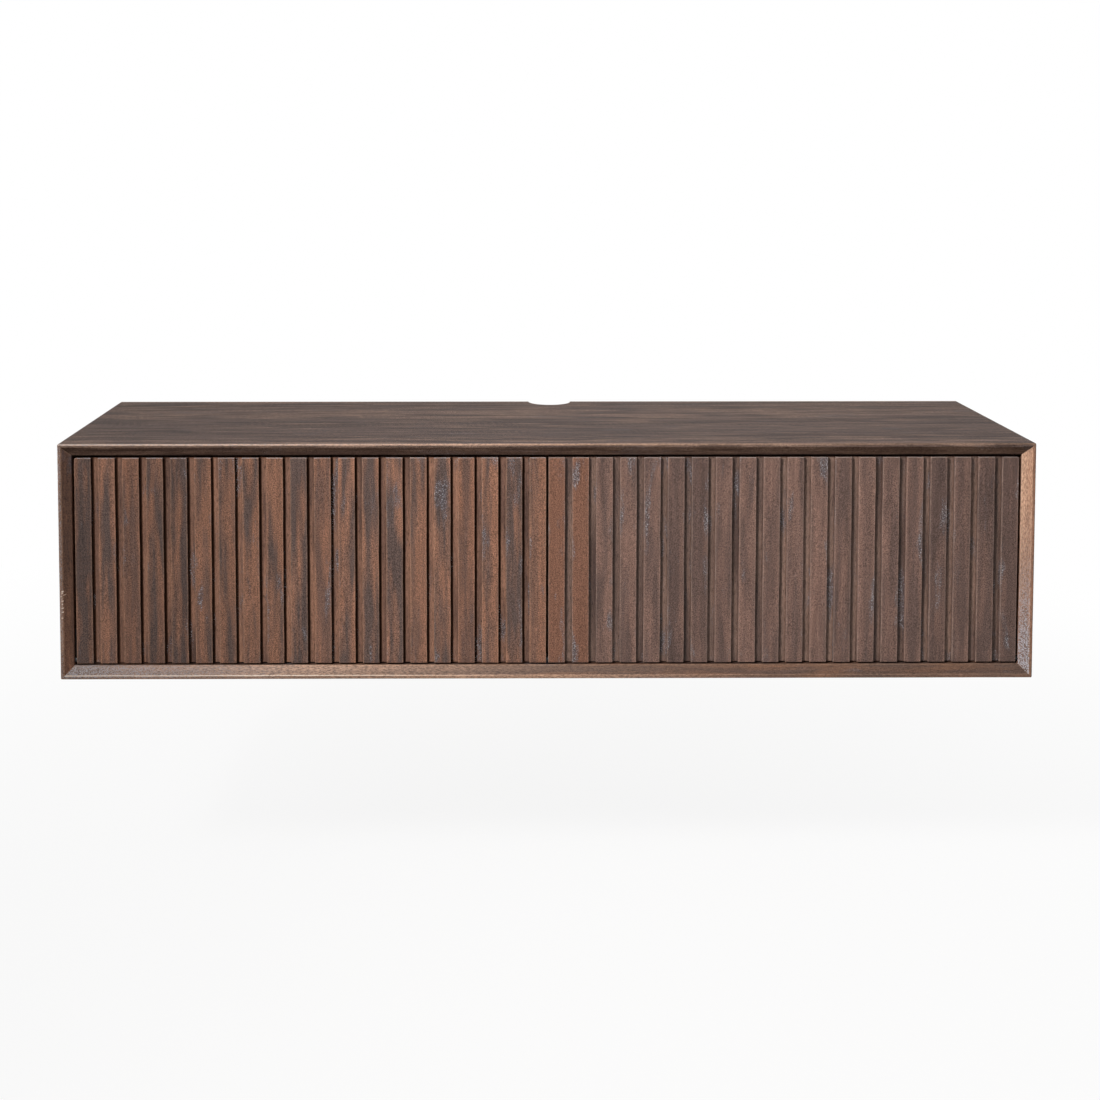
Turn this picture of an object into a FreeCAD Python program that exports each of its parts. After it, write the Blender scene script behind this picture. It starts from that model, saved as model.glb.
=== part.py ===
import FreeCAD, Part
import math
import os

# Wall-hung media console: a mitred hardwood carcase with two slatted drop-down flaps.
#
# Lengths are millimetres. X runs to the right as seen from the front, Y runs back
# towards the wall and Z runs up. The origin lies on the wall, in the middle of the
# cabinet's width, at the height of the wall screws.

Vec = FreeCAD.Vector

X_AXIS = Vec(1, 0, 0)
Y_AXIS = Vec(0, 1, 0)
Z_AXIS = Vec(0, 0, 1)
ORIGIN = Vec(0, 0, 0)
OVERCUT = 2.0  # how far a cutting tool runs past the face that it enters by
FULL_TURN = 360.0

# ---- Carcase ---------------------------------------------------------------
CARCASE_WIDTH = 1500.0
CARCASE_HEIGHT = 366.0
CARCASE_DEPTH = 400.0
PANEL_THICKNESS = 19.0
ARRIS_RADIUS = 2.0
LIP_WIDTH = 5.5  # flat front edge left outside the bevel
BEVEL_DEPTH = 10.0  # how far the bevel runs in behind the front edge
SPLINE_THICKNESS = 4.0  # loose plywood tongue across each mitre
SPLINE_WIDTH = 18.0
SPLINE_INSET = 6.5  # from the inner corner, across and up
SPLINE_STOP = 30.0  # the tongue ends this far behind the front edge
SPLINE_TO_BACK = 6.0

# ---- Cable notch in the top's back edge -------------------------------------
NOTCH_RADIUS = 37.0
NOTCH_OFFSET = 17.5  # to the right of the cabinet's middle

# ---- Back panels and cable space ---------------------------------------------
CABLE_SPACE = 45.0  # between the wall and the back panels
BACK_THICKNESS = 9.0
BACK_GROOVE = 6.0  # depth of the grooves in the carcase
DIVIDER_REBATE = 4.5  # depth of the rebates in the divider
GROMMET_BORE_RADIUS = 27.0
GROMMET_WALL = 3.0
GROMMET_FLANGE_RADIUS = 35.0
GROMMET_FLANGE = 2.0
GROMMET_TAIL = 2.0  # stands out behind the back panel
GROMMET_EASE = 1.0  # rounding of the flange's rim
GROMMET_OFFSET = 110.0  # from the cabinet's middle
GROMMET_DROP = 120.0  # below the wall screws

# ---- Centre divider ------------------------------------------------------------
DIVIDER_THICKNESS = 19.0
DOWEL_RADIUS = 4.0
DOWEL_LENGTH = 24.0
DOWEL_EDGE_MARGIN = 40.0
DOWELS_PER_END = 3

# ---- Cleat: bevelled rails that hook over each other -----------------------------
CLEAT_THICKNESS = 18.0
WALL_RAIL_HEIGHT = 60.0
WALL_RAIL_LENGTH = 1320.0
HANGING_RAIL_DROP = 60.0  # from the top panel to the hook's tip
HANGING_RAIL_CLEARWAY = 120.0  # middle left free for cables, each side of the middle
WALL_SCREW_RADIUS = 3.25
WALL_SINK_RADIUS = 6.5
WALL_SINK_DEPTH = 3.25
WALL_SCREW_OUTER = 600.0
WALL_SCREW_INNER = 200.0

# ---- Flaps --------------------------------------------------------------------
FLAP_SIDE_GAP = 3.5
FLAP_CENTRE_GAP = 3.5
FLAP_TOP_GAP = 4.5
FLAP_BOTTOM_GAP = 2.6
FLAP_SETBACK = 0.5  # the slats' faces lie this far behind the bevel's inner edge
BACKING_THICKNESS = 16.0
SLATS_PER_FLAP = 20
SLAT_WIDTH = 25.6
SLAT_THICKNESS = 6.0
SLAT_SIDE_CHAMFER = 1.0
SLAT_END_CHAMFER = 1.5
FLAP_CORNER_RADIUS = 2.5  # outer top corner of each flap

# ---- Flap pivots: knife hinges at both ends of each flap ----------------------------
PIVOT_BEHIND_FACE = 6.0
PIVOT_RISE = 4.5  # above the flap's bottom edge
PIVOT_PIN_RADIUS = 2.0
PIVOT_RUNNING_FIT = 0.05
PIVOT_PIN_TAIL = 2.0  # pin beyond the leaf
PIVOT_RELIEF = 0.6  # room round and beyond the pin's tail
LEAF_THICKNESS = 2.0
LEAF_EYE_RADIUS = 4.2
LEAF_SHANK_START = 2.0  # behind the pivot
LEAF_SHANK_END = 13.0
LEAF_SHANK_TOP = 52.0
PLATE_THICKNESS = 1.5
PLATE_EYE_RADIUS = 5.0
PLATE_SHANK_START = 0.5
PLATE_SHANK_END = 13.0
PLATE_SHANK_TOP = 48.0
SHANK_CORNER = 3.0
WASHER_RADIUS = 3.8
PARTING = 0.3  # air between a moving piece and a fixed one
BLADE_THICKNESS = 1.5
FOOT_THICKNESS = 1.5
FOOT_WIDTH = 26.0
FOOT_LENGTH = 34.0
FOOT_SCREW_OFFSET = 7.25  # from the blade's middle
LEAF_SCREW_HEIGHTS = (18.0, 42.0)
PLATE_SCREW_HEIGHTS = (15.0, 38.0)

# ---- Countersunk wood screws ---------------------------------------------------------
SCREW_HEAD_RADIUS = 3.2
SCREW_RADIUS = 1.6
SCREW_LENGTH = 15.0
SCREW_TIP = 3.0

# ---- Flap stays: slotted arms that slide over a fixed screw ------------------------------
STAY_REACH = 130.0  # from the flap's pivot to the arm's pivot, and to the fixed screw
STAY_BEHIND_FLAP = 20.0  # arm's pivot behind the flap's back
STAY_SPREAD = 22.0  # degrees between the two at rest
STAY_PIN_RADIUS = 2.4
STAY_SLOT_EASE = 0.3
STAY_END_EASE = 0.4
STAY_ARM_HALF_WIDTH = 7.0
STAY_ARM_THICKNESS = 2.0
STAY_ARM_INSET = 6.5  # arm's outer face to the side panel
STAY_SPACER_FLANGE_RADIUS = 10.0
STAY_SPACER_FLANGE = 2.0
STAY_SPACER_RADIUS = 4.5
STAY_HEAD_RADIUS = 5.5
STAY_HEAD_THICKNESS = 2.0
STAY_SCREW_BITE = 12.0
STAY_BRACKET_THICKNESS = 2.0
STAY_BRACKET_HALF_HEIGHT = 10.0
STAY_BRACKET_BASE = 26.0
STAY_BRACKET_SCREWS = (8.5, 19.5)  # from the base's outer end
STAY_LUG_RADIUS = 7.5
STAY_RIVET_HEAD = 1.2
FLAP_OPENING = 90.0  # degrees

# ---- Stop rails, buffers and push latches ----------------------------------------------
STOP_GAP = 3.0  # behind the closed flap: room to press it in
STOP_RAIL_DEPTH = 24.0
STOP_RAIL_HEIGHT = 30.0
STOP_RAIL_CHAMFER = 2.0
BUFFER_RADIUS = 4.0
BUFFER_CROWN_RADIUS = 2.0
BUFFER_HEIGHT = 1.2
BUFFER_INSET = 60.0  # from each end of the stop rail
LATCH_RISE = 10.0  # above the stop rail's lower edge
LATCH_BARREL_RADIUS = 5.0
LATCH_BARREL_LENGTH = 48.0
LATCH_FLANGE_RADIUS = 7.5
LATCH_FLANGE = 1.0
LATCH_FLOOR = 3.0
LATCH_PLUNGER_RADIUS = 3.0
LATCH_PLUNGER_LENGTH = 26.0
LATCH_SPIGOT_RADIUS = 1.3
LATCH_SPIGOT_LENGTH = 5.0
LATCH_TIP_ROUND = 0.8
SPRING_WIRE_RADIUS = 0.3
SPRING_MEAN_RADIUS = 2.2
SPRING_TURNS = 6
SPRING_WIRE_SIDES = 6
STRIKE_RADIUS = 8.0
STRIKE_THICKNESS = 1.5

# ---- Places that follow from the sizes ----------------------------------------------------
HALF_WIDTH = CARCASE_WIDTH / 2
INNER_HALF_WIDTH = HALF_WIDTH - PANEL_THICKNESS
WALL_Y = 0.0
FRONT_Y = WALL_Y - CARCASE_DEPTH

WALL_RAIL_TOP = WALL_RAIL_HEIGHT / 2
HOOK_TIP_Z = WALL_RAIL_TOP - CLEAT_THICKNESS
CEILING_Z = HOOK_TIP_Z + HANGING_RAIL_DROP
TOP_Z = CEILING_Z + PANEL_THICKNESS
BASE_Z = TOP_Z - CARCASE_HEIGHT
FLOOR_Z = BASE_Z + PANEL_THICKNESS

BACK_REAR_Y = WALL_Y - CABLE_SPACE
BACK_FRONT_Y = BACK_REAR_Y - BACK_THICKNESS
GROMMET_Z = -GROMMET_DROP

FLAP_FACE_Y = FRONT_Y + BEVEL_DEPTH + FLAP_SETBACK
BACKING_FACE_Y = FLAP_FACE_Y + SLAT_THICKNESS
FLAP_BACK_Y = BACKING_FACE_Y + BACKING_THICKNESS
FLAP_INNER_X = FLAP_CENTRE_GAP / 2
FLAP_OUTER_X = INNER_HALF_WIDTH - FLAP_SIDE_GAP
FLAP_WIDTH = FLAP_OUTER_X - FLAP_INNER_X
FLAP_BOTTOM_Z = FLOOR_Z + FLAP_BOTTOM_GAP
FLAP_TOP_Z = CEILING_Z - FLAP_TOP_GAP
SLAT_PITCH = (FLAP_WIDTH - SLAT_WIDTH) / (SLATS_PER_FLAP - 1)

PIVOT_Y = FLAP_FACE_Y + PIVOT_BEHIND_FACE
PIVOT_Z = FLAP_BOTTOM_Z + PIVOT_RISE
PLATE_FACE_X = INNER_HALF_WIDTH - PLATE_THICKNESS
PIN_REACH = LEAF_THICKNESS + PIVOT_PIN_TAIL

STOP_FRONT_Y = FLAP_BACK_Y + STOP_GAP
STOP_BACK_Y = STOP_FRONT_Y + STOP_RAIL_DEPTH
STOP_BOTTOM_Z = CEILING_Z - STOP_RAIL_HEIGHT
DIVIDER_HALF = DIVIDER_THICKNESS / 2
DIVIDER_FRONT_Y = STOP_FRONT_Y
LATCH_X = (DIVIDER_HALF + INNER_HALF_WIDTH) / 2
LATCH_Z = STOP_BOTTOM_Z + LATCH_RISE

STAY_ARM_OUTER_X = INNER_HALF_WIDTH - STAY_ARM_INSET
STAY_ARM_INNER_X = STAY_ARM_OUTER_X - STAY_ARM_THICKNESS
STAY_BRACKET_OUTER_X = STAY_ARM_INNER_X - PARTING
STAY_BRACKET_INNER_X = STAY_BRACKET_OUTER_X - STAY_BRACKET_THICKNESS
STAY_SLOT_HALF_WIDTH = STAY_PIN_RADIUS + STAY_SLOT_EASE
STAY_PIVOT_DEPTH = (FLAP_BACK_Y - PIVOT_Y) + STAY_BEHIND_FLAP
STAY_PIVOT_LEAN = math.degrees(math.asin(STAY_PIVOT_DEPTH / STAY_REACH))


# ---- Building blocks ---------------------------------------------------------------
def block(x_range, y_range, z_range):
    """Box between two limits on each axis."""
    size = [high - low for low, high in (x_range, y_range, z_range)]
    return Part.makeBox(*size, Vec(x_range[0], y_range[0], z_range[0]))


def rod(radius, start, end):
    """Round bar from one point to another."""
    axis = end - start
    return Part.makeCylinder(radius, axis.Length, start, axis)


def prism(corners, direction):
    """Flat polygon pushed along a direction."""
    outline = Part.makePolygon(list(corners) + [corners[0]])
    return Part.Face(outline).extrude(direction)


def turned(profile, centre, axis):
    """Solid of revolution about an axis through a centre.

    The profile lists (distance along the axis, radius) pairs in order. A pair that is a
    corner of the outline and nothing else is all that it needs: arcs are not used.
    """
    points = [Vec(radius, 0, along) for along, radius in profile]
    outline = Part.makePolygon(points + [points[0]])
    solid = Part.Face(outline).revolve(ORIGIN, Z_AXIS, FULL_TURN)
    solid.Placement = FreeCAD.Placement(centre, FreeCAD.Rotation(Z_AXIS, axis))
    return solid


def stadium(centre_a, centre_b, radius, x_start, x_end):
    """Flat bar with round ends, lying in a plane across X."""
    along = (centre_b - centre_a).normalize()
    across = X_AXIS.cross(along) * radius
    a_low, a_high = centre_a - across, centre_a + across
    b_low, b_high = centre_b - across, centre_b + across
    edges = [
        Part.LineSegment(a_low, b_low).toShape(),
        Part.Arc(b_low, centre_b + along * radius, b_high).toShape(),
        Part.LineSegment(b_high, a_high).toShape(),
        Part.Arc(a_high, centre_a - along * radius, a_low).toShape(),
    ]
    bar = Part.Face(Part.Wire(edges)).extrude(X_AXIS * (x_end - x_start))
    bar.translate(X_AXIS * x_start)
    return bar


def mirrored(shape):
    """The same piece on the left of the cabinet."""
    return shape.mirror(ORIGIN, X_AXIS)


def with_mirror(shapes):
    """The pieces and their mirror images."""
    return list(shapes) + [mirrored(shape) for shape in shapes]


def group(shapes):
    """Several identical pieces kept as separate solids of one node."""
    return Part.Compound(list(shapes))


def screw(head, direction):
    """Countersunk wood screw whose head is flush with the point head."""
    sink = SCREW_HEAD_RADIUS - SCREW_RADIUS
    profile = [
        (0, 0),
        (0, SCREW_HEAD_RADIUS),
        (sink, SCREW_RADIUS),
        (SCREW_LENGTH - SCREW_TIP, SCREW_RADIUS),
        (SCREW_LENGTH, 0),
    ]
    return turned(profile, head, direction)


# ---- Carcase ------------------------------------------------------------------------
def rectangle(half_width, margin, y):
    """Wire round the carcase's section, drawn in from its outer face by a margin."""
    low, high = BASE_Z + margin, TOP_Z - margin
    corners = [
        Vec(-half_width, y, low),
        Vec(half_width, y, low),
        Vec(half_width, y, high),
        Vec(-half_width, y, high),
    ]
    return Part.makePolygon(corners + [corners[0]])


def bevelled_mouth():
    """Cutter for the bevel that runs in from the lip, all round the opening."""
    slope = (PANEL_THICKNESS - LIP_WIDTH) / BEVEL_DEPTH
    outer_margin = LIP_WIDTH - slope * OVERCUT
    outer = rectangle(HALF_WIDTH - outer_margin, outer_margin, FRONT_Y - OVERCUT)
    inner = rectangle(INNER_HALF_WIDTH, PANEL_THICKNESS, FRONT_Y + BEVEL_DEPTH)
    return Part.makeLoft([outer, inner], True, True)


def carcase_tube():
    """The four sides as one, with the outer arrises rounded and the mouth bevelled."""
    body = block((-HALF_WIDTH, HALF_WIDTH), (FRONT_Y, WALL_Y), (BASE_Z, TOP_Z))
    arrises = [edge for edge in body.Edges if edge.CenterOfMass.y < WALL_Y]
    body = body.makeFillet(ARRIS_RADIUS, arrises)
    opening = block(
        (-INNER_HALF_WIDTH, INNER_HALF_WIDTH),
        (FRONT_Y - OVERCUT, WALL_Y + OVERCUT),
        (FLOOR_Z, CEILING_Z),
    )
    return body.cut(opening).cut(bevelled_mouth())


def mitre_wedge(outer_a, outer_b):
    """Space of one panel: it narrows at 45 degrees from two outer corners to the inner ones.

    Each corner is given by its signs, (x, z), such as (1, 1) for the top right.
    """
    middle_z = (TOP_Z + BASE_Z) / 2
    half_height = CARCASE_HEIGHT / 2

    def at(corner, inset):
        x_sign, z_sign = corner
        z = middle_z + z_sign * (half_height - inset)
        return Vec(x_sign * (HALF_WIDTH - inset), FRONT_Y - OVERCUT, z)

    deep = PANEL_THICKNESS + OVERCUT
    corners = [at(outer_a, -OVERCUT), at(outer_b, -OVERCUT), at(outer_b, deep), at(outer_a, deep)]
    return prism(corners, Y_AXIS * (CARCASE_DEPTH + 2 * OVERCUT))


def mitre_splines():
    """Plywood tongues, one across each of the four mitres."""
    start_y = FRONT_Y + SPLINE_STOP
    length = (BACK_FRONT_Y - SPLINE_TO_BACK) - start_y
    diagonal = math.sqrt(0.5)
    splines = []
    for x_sign in (-1, 1):
        for inner_z, z_sign in ((FLOOR_Z, -1), (CEILING_Z, 1)):
            x = x_sign * (INNER_HALF_WIDTH + SPLINE_INSET)
            centre = Vec(x, start_y, inner_z + z_sign * SPLINE_INSET)
            across = Vec(x_sign, 0, -z_sign) * (diagonal * SPLINE_WIDTH / 2)
            through = Vec(x_sign, 0, z_sign) * (diagonal * SPLINE_THICKNESS / 2)
            corners = [
                centre - across - through,
                centre + across - through,
                centre + across + through,
                centre - across + through,
            ]
            splines.append(prism(corners, Y_AXIS * length))
    return splines


def cable_notch():
    """Cutter for the half-round notch in the top panel's back edge."""
    low = Vec(NOTCH_OFFSET, WALL_Y, CEILING_Z - OVERCUT)
    high = Vec(NOTCH_OFFSET, WALL_Y, TOP_Z + OVERCUT)
    return rod(NOTCH_RADIUS, low, high)


# ---- Back, divider and rails ------------------------------------------------------------
def back_blank():
    """Right back panel before its cable hole: it also serves to cut the grooves."""
    return block(
        (DIVIDER_HALF - DIVIDER_REBATE, INNER_HALF_WIDTH + BACK_GROOVE),
        (BACK_FRONT_Y, BACK_REAR_Y),
        (FLOOR_Z - BACK_GROOVE, CEILING_Z + BACK_GROOVE),
    )


def back_panel():
    """Right back panel with the hole that its grommet fills."""
    front = Vec(GROMMET_OFFSET, BACK_FRONT_Y - OVERCUT, GROMMET_Z)
    rear = Vec(GROMMET_OFFSET, BACK_REAR_Y + OVERCUT, GROMMET_Z)
    return back_blank().cut(rod(GROMMET_BORE_RADIUS + GROMMET_WALL, front, rear))


def cable_grommet():
    """Right cable outlet: a flanged ring pushed in from the compartment's side."""
    barrel = GROMMET_BORE_RADIUS + GROMMET_WALL
    rim = GROMMET_FLANGE_RADIUS
    length = GROMMET_FLANGE + BACK_THICKNESS + GROMMET_TAIL
    profile = [
        (0, GROMMET_BORE_RADIUS + GROMMET_EASE),
        (0, rim - GROMMET_EASE),
        (GROMMET_EASE, rim),
        (GROMMET_FLANGE, rim),
        (GROMMET_FLANGE, barrel),
        (length - GROMMET_EASE, barrel),
        (length, barrel - GROMMET_EASE),
        (length, GROMMET_BORE_RADIUS),
        (GROMMET_EASE, GROMMET_BORE_RADIUS),
    ]
    centre = Vec(GROMMET_OFFSET, BACK_FRONT_Y - GROMMET_FLANGE, GROMMET_Z)
    return turned(profile, centre, Y_AXIS)


def centre_divider(dowels):
    """Upright between the two compartments, rebated for the back panels."""
    panel = block(
        (-DIVIDER_HALF, DIVIDER_HALF), (DIVIDER_FRONT_Y, BACK_REAR_Y), (FLOOR_Z, CEILING_Z)
    )
    for cutter in with_mirror([back_blank()]) + dowels:
        panel = panel.cut(cutter)
    return panel


def divider_dowels():
    """Dowels that join the divider to the bottom and top panels."""
    first = DIVIDER_FRONT_Y + DOWEL_EDGE_MARGIN
    last = BACK_FRONT_Y - DOWEL_EDGE_MARGIN
    spacing = (last - first) / (DOWELS_PER_END - 1)
    half = Z_AXIS * (DOWEL_LENGTH / 2)
    dowels = []
    for z in (FLOOR_Z, CEILING_Z):
        for number in range(DOWELS_PER_END):
            centre = Vec(0, first + number * spacing, z)
            dowels.append(rod(DOWEL_RADIUS, centre - half, centre + half))
    return dowels


def hanging_rail():
    """Right half of the cabinet's side of the cleat: its lower edge hooks towards the wall."""
    start = HANGING_RAIL_CLEARWAY
    corners = [
        Vec(start, WALL_Y, HOOK_TIP_Z),
        Vec(start, WALL_Y, CEILING_Z),
        Vec(start, WALL_Y - CLEAT_THICKNESS, CEILING_Z),
        Vec(start, WALL_Y - CLEAT_THICKNESS, HOOK_TIP_Z + CLEAT_THICKNESS),
    ]
    return prism(corners, X_AXIS * (INNER_HALF_WIDTH - start))


def wall_screw_places():
    """The wall screws' distances from the middle, from left to right."""
    return [-WALL_SCREW_OUTER, -WALL_SCREW_INNER, WALL_SCREW_INNER, WALL_SCREW_OUTER]


def wall_rail():
    """Rail that is screwed to the wall and carries the cabinet on its bevel."""
    start = -WALL_RAIL_LENGTH / 2
    front_y = WALL_Y - CLEAT_THICKNESS
    corners = [
        Vec(start, WALL_Y, -WALL_RAIL_HEIGHT / 2),
        Vec(start, WALL_Y, HOOK_TIP_Z),
        Vec(start, front_y, WALL_RAIL_TOP),
        Vec(start, front_y, -WALL_RAIL_HEIGHT / 2),
    ]
    rail = prism(corners, X_AXIS * WALL_RAIL_LENGTH)
    for x in wall_screw_places():
        profile = [
            (-OVERCUT, 0),
            (-OVERCUT, WALL_SINK_RADIUS),
            (0, WALL_SINK_RADIUS),
            (WALL_SINK_DEPTH, WALL_SCREW_RADIUS),
            (CLEAT_THICKNESS + OVERCUT, WALL_SCREW_RADIUS),
            (CLEAT_THICKNESS + OVERCUT, 0),
        ]
        rail = rail.cut(turned(profile, Vec(x, front_y, 0), Y_AXIS))
    return rail


# ---- Stop rails and push latches -----------------------------------------------------------
def latch_barrel():
    """Outer form of the right latch, which also bores the stop rail."""
    profile = [
        (0, 0),
        (0, LATCH_FLANGE_RADIUS),
        (LATCH_FLANGE, LATCH_FLANGE_RADIUS),
        (LATCH_FLANGE, LATCH_BARREL_RADIUS),
        (LATCH_FLANGE + LATCH_BARREL_LENGTH, LATCH_BARREL_RADIUS),
        (LATCH_FLANGE + LATCH_BARREL_LENGTH, 0),
    ]
    return turned(profile, Vec(LATCH_X, STOP_FRONT_Y - LATCH_FLANGE, LATCH_Z), Y_AXIS)


def latch_bore_end_y():
    """Bottom of the latch's bore, where its spring bears."""
    return STOP_FRONT_Y + LATCH_BARREL_LENGTH - LATCH_FLOOR


def latch_housing():
    """Right latch's plastic barrel with its blind bore."""
    start = Vec(LATCH_X, STOP_FRONT_Y - LATCH_FLANGE - OVERCUT, LATCH_Z)
    end = Vec(LATCH_X, latch_bore_end_y(), LATCH_Z)
    return latch_barrel().cut(rod(LATCH_PLUNGER_RADIUS + PIVOT_RUNNING_FIT, start, end))


def latch_plunger():
    """Right latch's plunger: a round-nosed rod with a spigot that centres its spring."""
    shoulder = LATCH_PLUNGER_LENGTH
    profile = [
        (0, 0),
        (0, LATCH_PLUNGER_RADIUS - LATCH_TIP_ROUND),
        (LATCH_TIP_ROUND, LATCH_PLUNGER_RADIUS),
        (shoulder, LATCH_PLUNGER_RADIUS),
        (shoulder, LATCH_SPIGOT_RADIUS),
        (shoulder + LATCH_SPIGOT_LENGTH, LATCH_SPIGOT_RADIUS),
        (shoulder + LATCH_SPIGOT_LENGTH, 0),
    ]
    return turned(profile, Vec(LATCH_X, FLAP_BACK_Y + PARTING, LATCH_Z), Y_AXIS)


def wire_section():
    """Corners of the spring wire's section, about its mean radius."""
    step = math.radians(FULL_TURN / SPRING_WIRE_SIDES)
    angles = [number * step for number in range(SPRING_WIRE_SIDES)]
    centre = Vec(SPRING_MEAN_RADIUS, 0, 0)
    return [centre + Vec(math.cos(a), 0, math.sin(a)) * SPRING_WIRE_RADIUS for a in angles]


def latch_spring():
    """Right latch's compression spring, between the plunger's shoulder and the bore's bottom."""
    start_y = FLAP_BACK_Y + PARTING + LATCH_PLUNGER_LENGTH + SPRING_WIRE_RADIUS
    length = latch_bore_end_y() - SPRING_WIRE_RADIUS - start_y
    helix = Part.makeHelix(length / SPRING_TURNS, length, SPRING_MEAN_RADIUS)
    section = Part.makePolygon(wire_section() + wire_section()[:1])
    spring = Part.Wire(helix).makePipeShell([section], True, True)
    turn = FreeCAD.Rotation(Z_AXIS, Y_AXIS)
    spring.Placement = FreeCAD.Placement(Vec(LATCH_X, start_y, LATCH_Z), turn)
    return spring


def strike_plate():
    """Steel disc let into the right flap's back, where the plunger meets it."""
    start = Vec(LATCH_X, FLAP_BACK_Y - STRIKE_THICKNESS, LATCH_Z)
    return rod(STRIKE_RADIUS, start, Vec(LATCH_X, FLAP_BACK_Y, LATCH_Z))


def stop_rail():
    """Rail under the top, behind the right flap's upper edge, bored for the latch."""
    rail = block(
        (DIVIDER_HALF, INNER_HALF_WIDTH), (STOP_FRONT_Y, STOP_BACK_Y), (STOP_BOTTOM_Z, CEILING_Z)
    )
    lower = [
        edge
        for edge in rail.Edges
        if abs(edge.CenterOfMass.z - STOP_BOTTOM_Z) < PARTING
        and abs(edge.CenterOfMass.x - LATCH_X) < PARTING
    ]
    return rail.makeChamfer(STOP_RAIL_CHAMFER, lower).cut(latch_barrel())


def buffers():
    """Soft domes on the right stop rail's face that quieten the flap."""
    half = BUFFER_HEIGHT / 2
    profile = [
        (0, 0),
        (0, BUFFER_CROWN_RADIUS),
        (half, BUFFER_RADIUS - half),
        (BUFFER_HEIGHT, BUFFER_RADIUS),
        (BUFFER_HEIGHT, 0),
    ]
    places = (DIVIDER_HALF + BUFFER_INSET, INNER_HALF_WIDTH - BUFFER_INSET)
    return [
        turned(profile, Vec(x, STOP_FRONT_Y - BUFFER_HEIGHT, LATCH_Z), Y_AXIS) for x in places
    ]


# ---- Flap pivots -----------------------------------------------------------------------
def pivot_outline(eye, shank_start, shank_end, shank_top):
    """Knife-hinge outline about the pivot, in the YZ plane: a round eye and an upright shank."""
    side = -math.sqrt(0.5)
    lean = math.sqrt(eye**2 - shank_start**2)
    corner = SHANK_CORNER
    dip = corner * (1 + side)

    def at(y, z):
        return Vec(0, PIVOT_Y + y, PIVOT_Z + z)

    edges = [
        Part.LineSegment(at(0, -eye), at(shank_end, -eye)),
        Part.LineSegment(at(shank_end, -eye), at(shank_end, shank_top - corner)),
        Part.Arc(
            at(shank_end, shank_top - corner),
            at(shank_end - dip, shank_top - dip),
            at(shank_end - corner, shank_top),
        ),
        Part.LineSegment(at(shank_end - corner, shank_top), at(shank_start + corner, shank_top)),
        Part.Arc(
            at(shank_start + corner, shank_top),
            at(shank_start + dip, shank_top - dip),
            at(shank_start, shank_top - corner),
        ),
        Part.LineSegment(at(shank_start, shank_top - corner), at(shank_start, lean)),
        Part.Arc(at(shank_start, lean), at(eye * side, -eye * side), at(-eye, 0)),
        Part.Arc(at(-eye, 0), at(eye * side, eye * side), at(0, -eye)),
    ]
    return Part.Face(Part.Wire([edge.toShape() for edge in edges]))


def leaf_blank(x):
    """A flap leaf before it is drilled, its outer face at x and its body at x + thickness."""
    outline = pivot_outline(LEAF_EYE_RADIUS, LEAF_SHANK_START, LEAF_SHANK_END, LEAF_SHANK_TOP)
    leaf = outline.extrude(X_AXIS * LEAF_THICKNESS)
    leaf.translate(X_AXIS * x)
    return leaf


def leaf_starts():
    """Where the right flap's two leaves begin in X: at the inner end, and at the outer."""
    return (FLAP_INNER_X, FLAP_OUTER_X - LEAF_THICKNESS)


def leaf_screws(x_face, direction):
    """Screws of one leaf, driven from its outer face into the flap's end."""
    y = PIVOT_Y + (LEAF_SHANK_START + LEAF_SHANK_END) / 2
    return [screw(Vec(x_face, y, PIVOT_Z + z), direction) for z in LEAF_SCREW_HEIGHTS]


def flap_end_screws():
    """All the leaf screws of the right flap."""
    inner = leaf_screws(FLAP_INNER_X, X_AXIS)
    return inner + leaf_screws(FLAP_OUTER_X, -X_AXIS)


def pivot_line(x_start, x_end, radius):
    """Round bar along the pivot axis."""
    return rod(radius, Vec(x_start, PIVOT_Y, PIVOT_Z), Vec(x_end, PIVOT_Y, PIVOT_Z))


def flap_leaf(x):
    """Leaf let into the flap's end, with a running bore for the pin and its screw holes."""
    bore = PIVOT_PIN_RADIUS + PIVOT_RUNNING_FIT
    leaf = leaf_blank(x).cut(pivot_line(x - OVERCUT, x + LEAF_THICKNESS + OVERCUT, bore))
    for fastener in flap_end_screws():
        leaf = leaf.cut(fastener)
    return leaf


def leaf_pockets():
    """Cutters for the two leaves, open at the flap's bottom edge, with relief for the pins."""
    deep = PIN_REACH + PIVOT_RELIEF
    relief = PIVOT_PIN_RADIUS + PIVOT_RELIEF
    cutters = [
        pivot_line(FLAP_INNER_X, FLAP_INNER_X + deep, relief),
        pivot_line(FLAP_OUTER_X - deep, FLAP_OUTER_X, relief),
    ]
    for x in leaf_starts():
        mouth = block(
            (x, x + LEAF_THICKNESS),
            (PIVOT_Y - LEAF_EYE_RADIUS, PIVOT_Y + LEAF_SHANK_END),
            (FLAP_BOTTOM_Z - OVERCUT, PIVOT_Z),
        )
        cutters.append(leaf_blank(x).fuse(mouth))
    return cutters


def plate_screws():
    """Screws that hold the right side's pivot plate."""
    y = PIVOT_Y + (PLATE_SHANK_START + PLATE_SHANK_END) / 2
    return [screw(Vec(PLATE_FACE_X, y, PIVOT_Z + z), X_AXIS) for z in PLATE_SCREW_HEIGHTS]


def pivot_plate():
    """Plate on the right side panel that carries the outer pivot pin."""
    outline = pivot_outline(
        PLATE_EYE_RADIUS, PLATE_SHANK_START, PLATE_SHANK_END, PLATE_SHANK_TOP
    )
    plate = outline.extrude(X_AXIS * PLATE_THICKNESS)
    plate.translate(X_AXIS * PLATE_FACE_X)
    plate = plate.cut(pivot_pin())
    for fastener in plate_screws():
        plate = plate.cut(fastener)
    return plate


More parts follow.
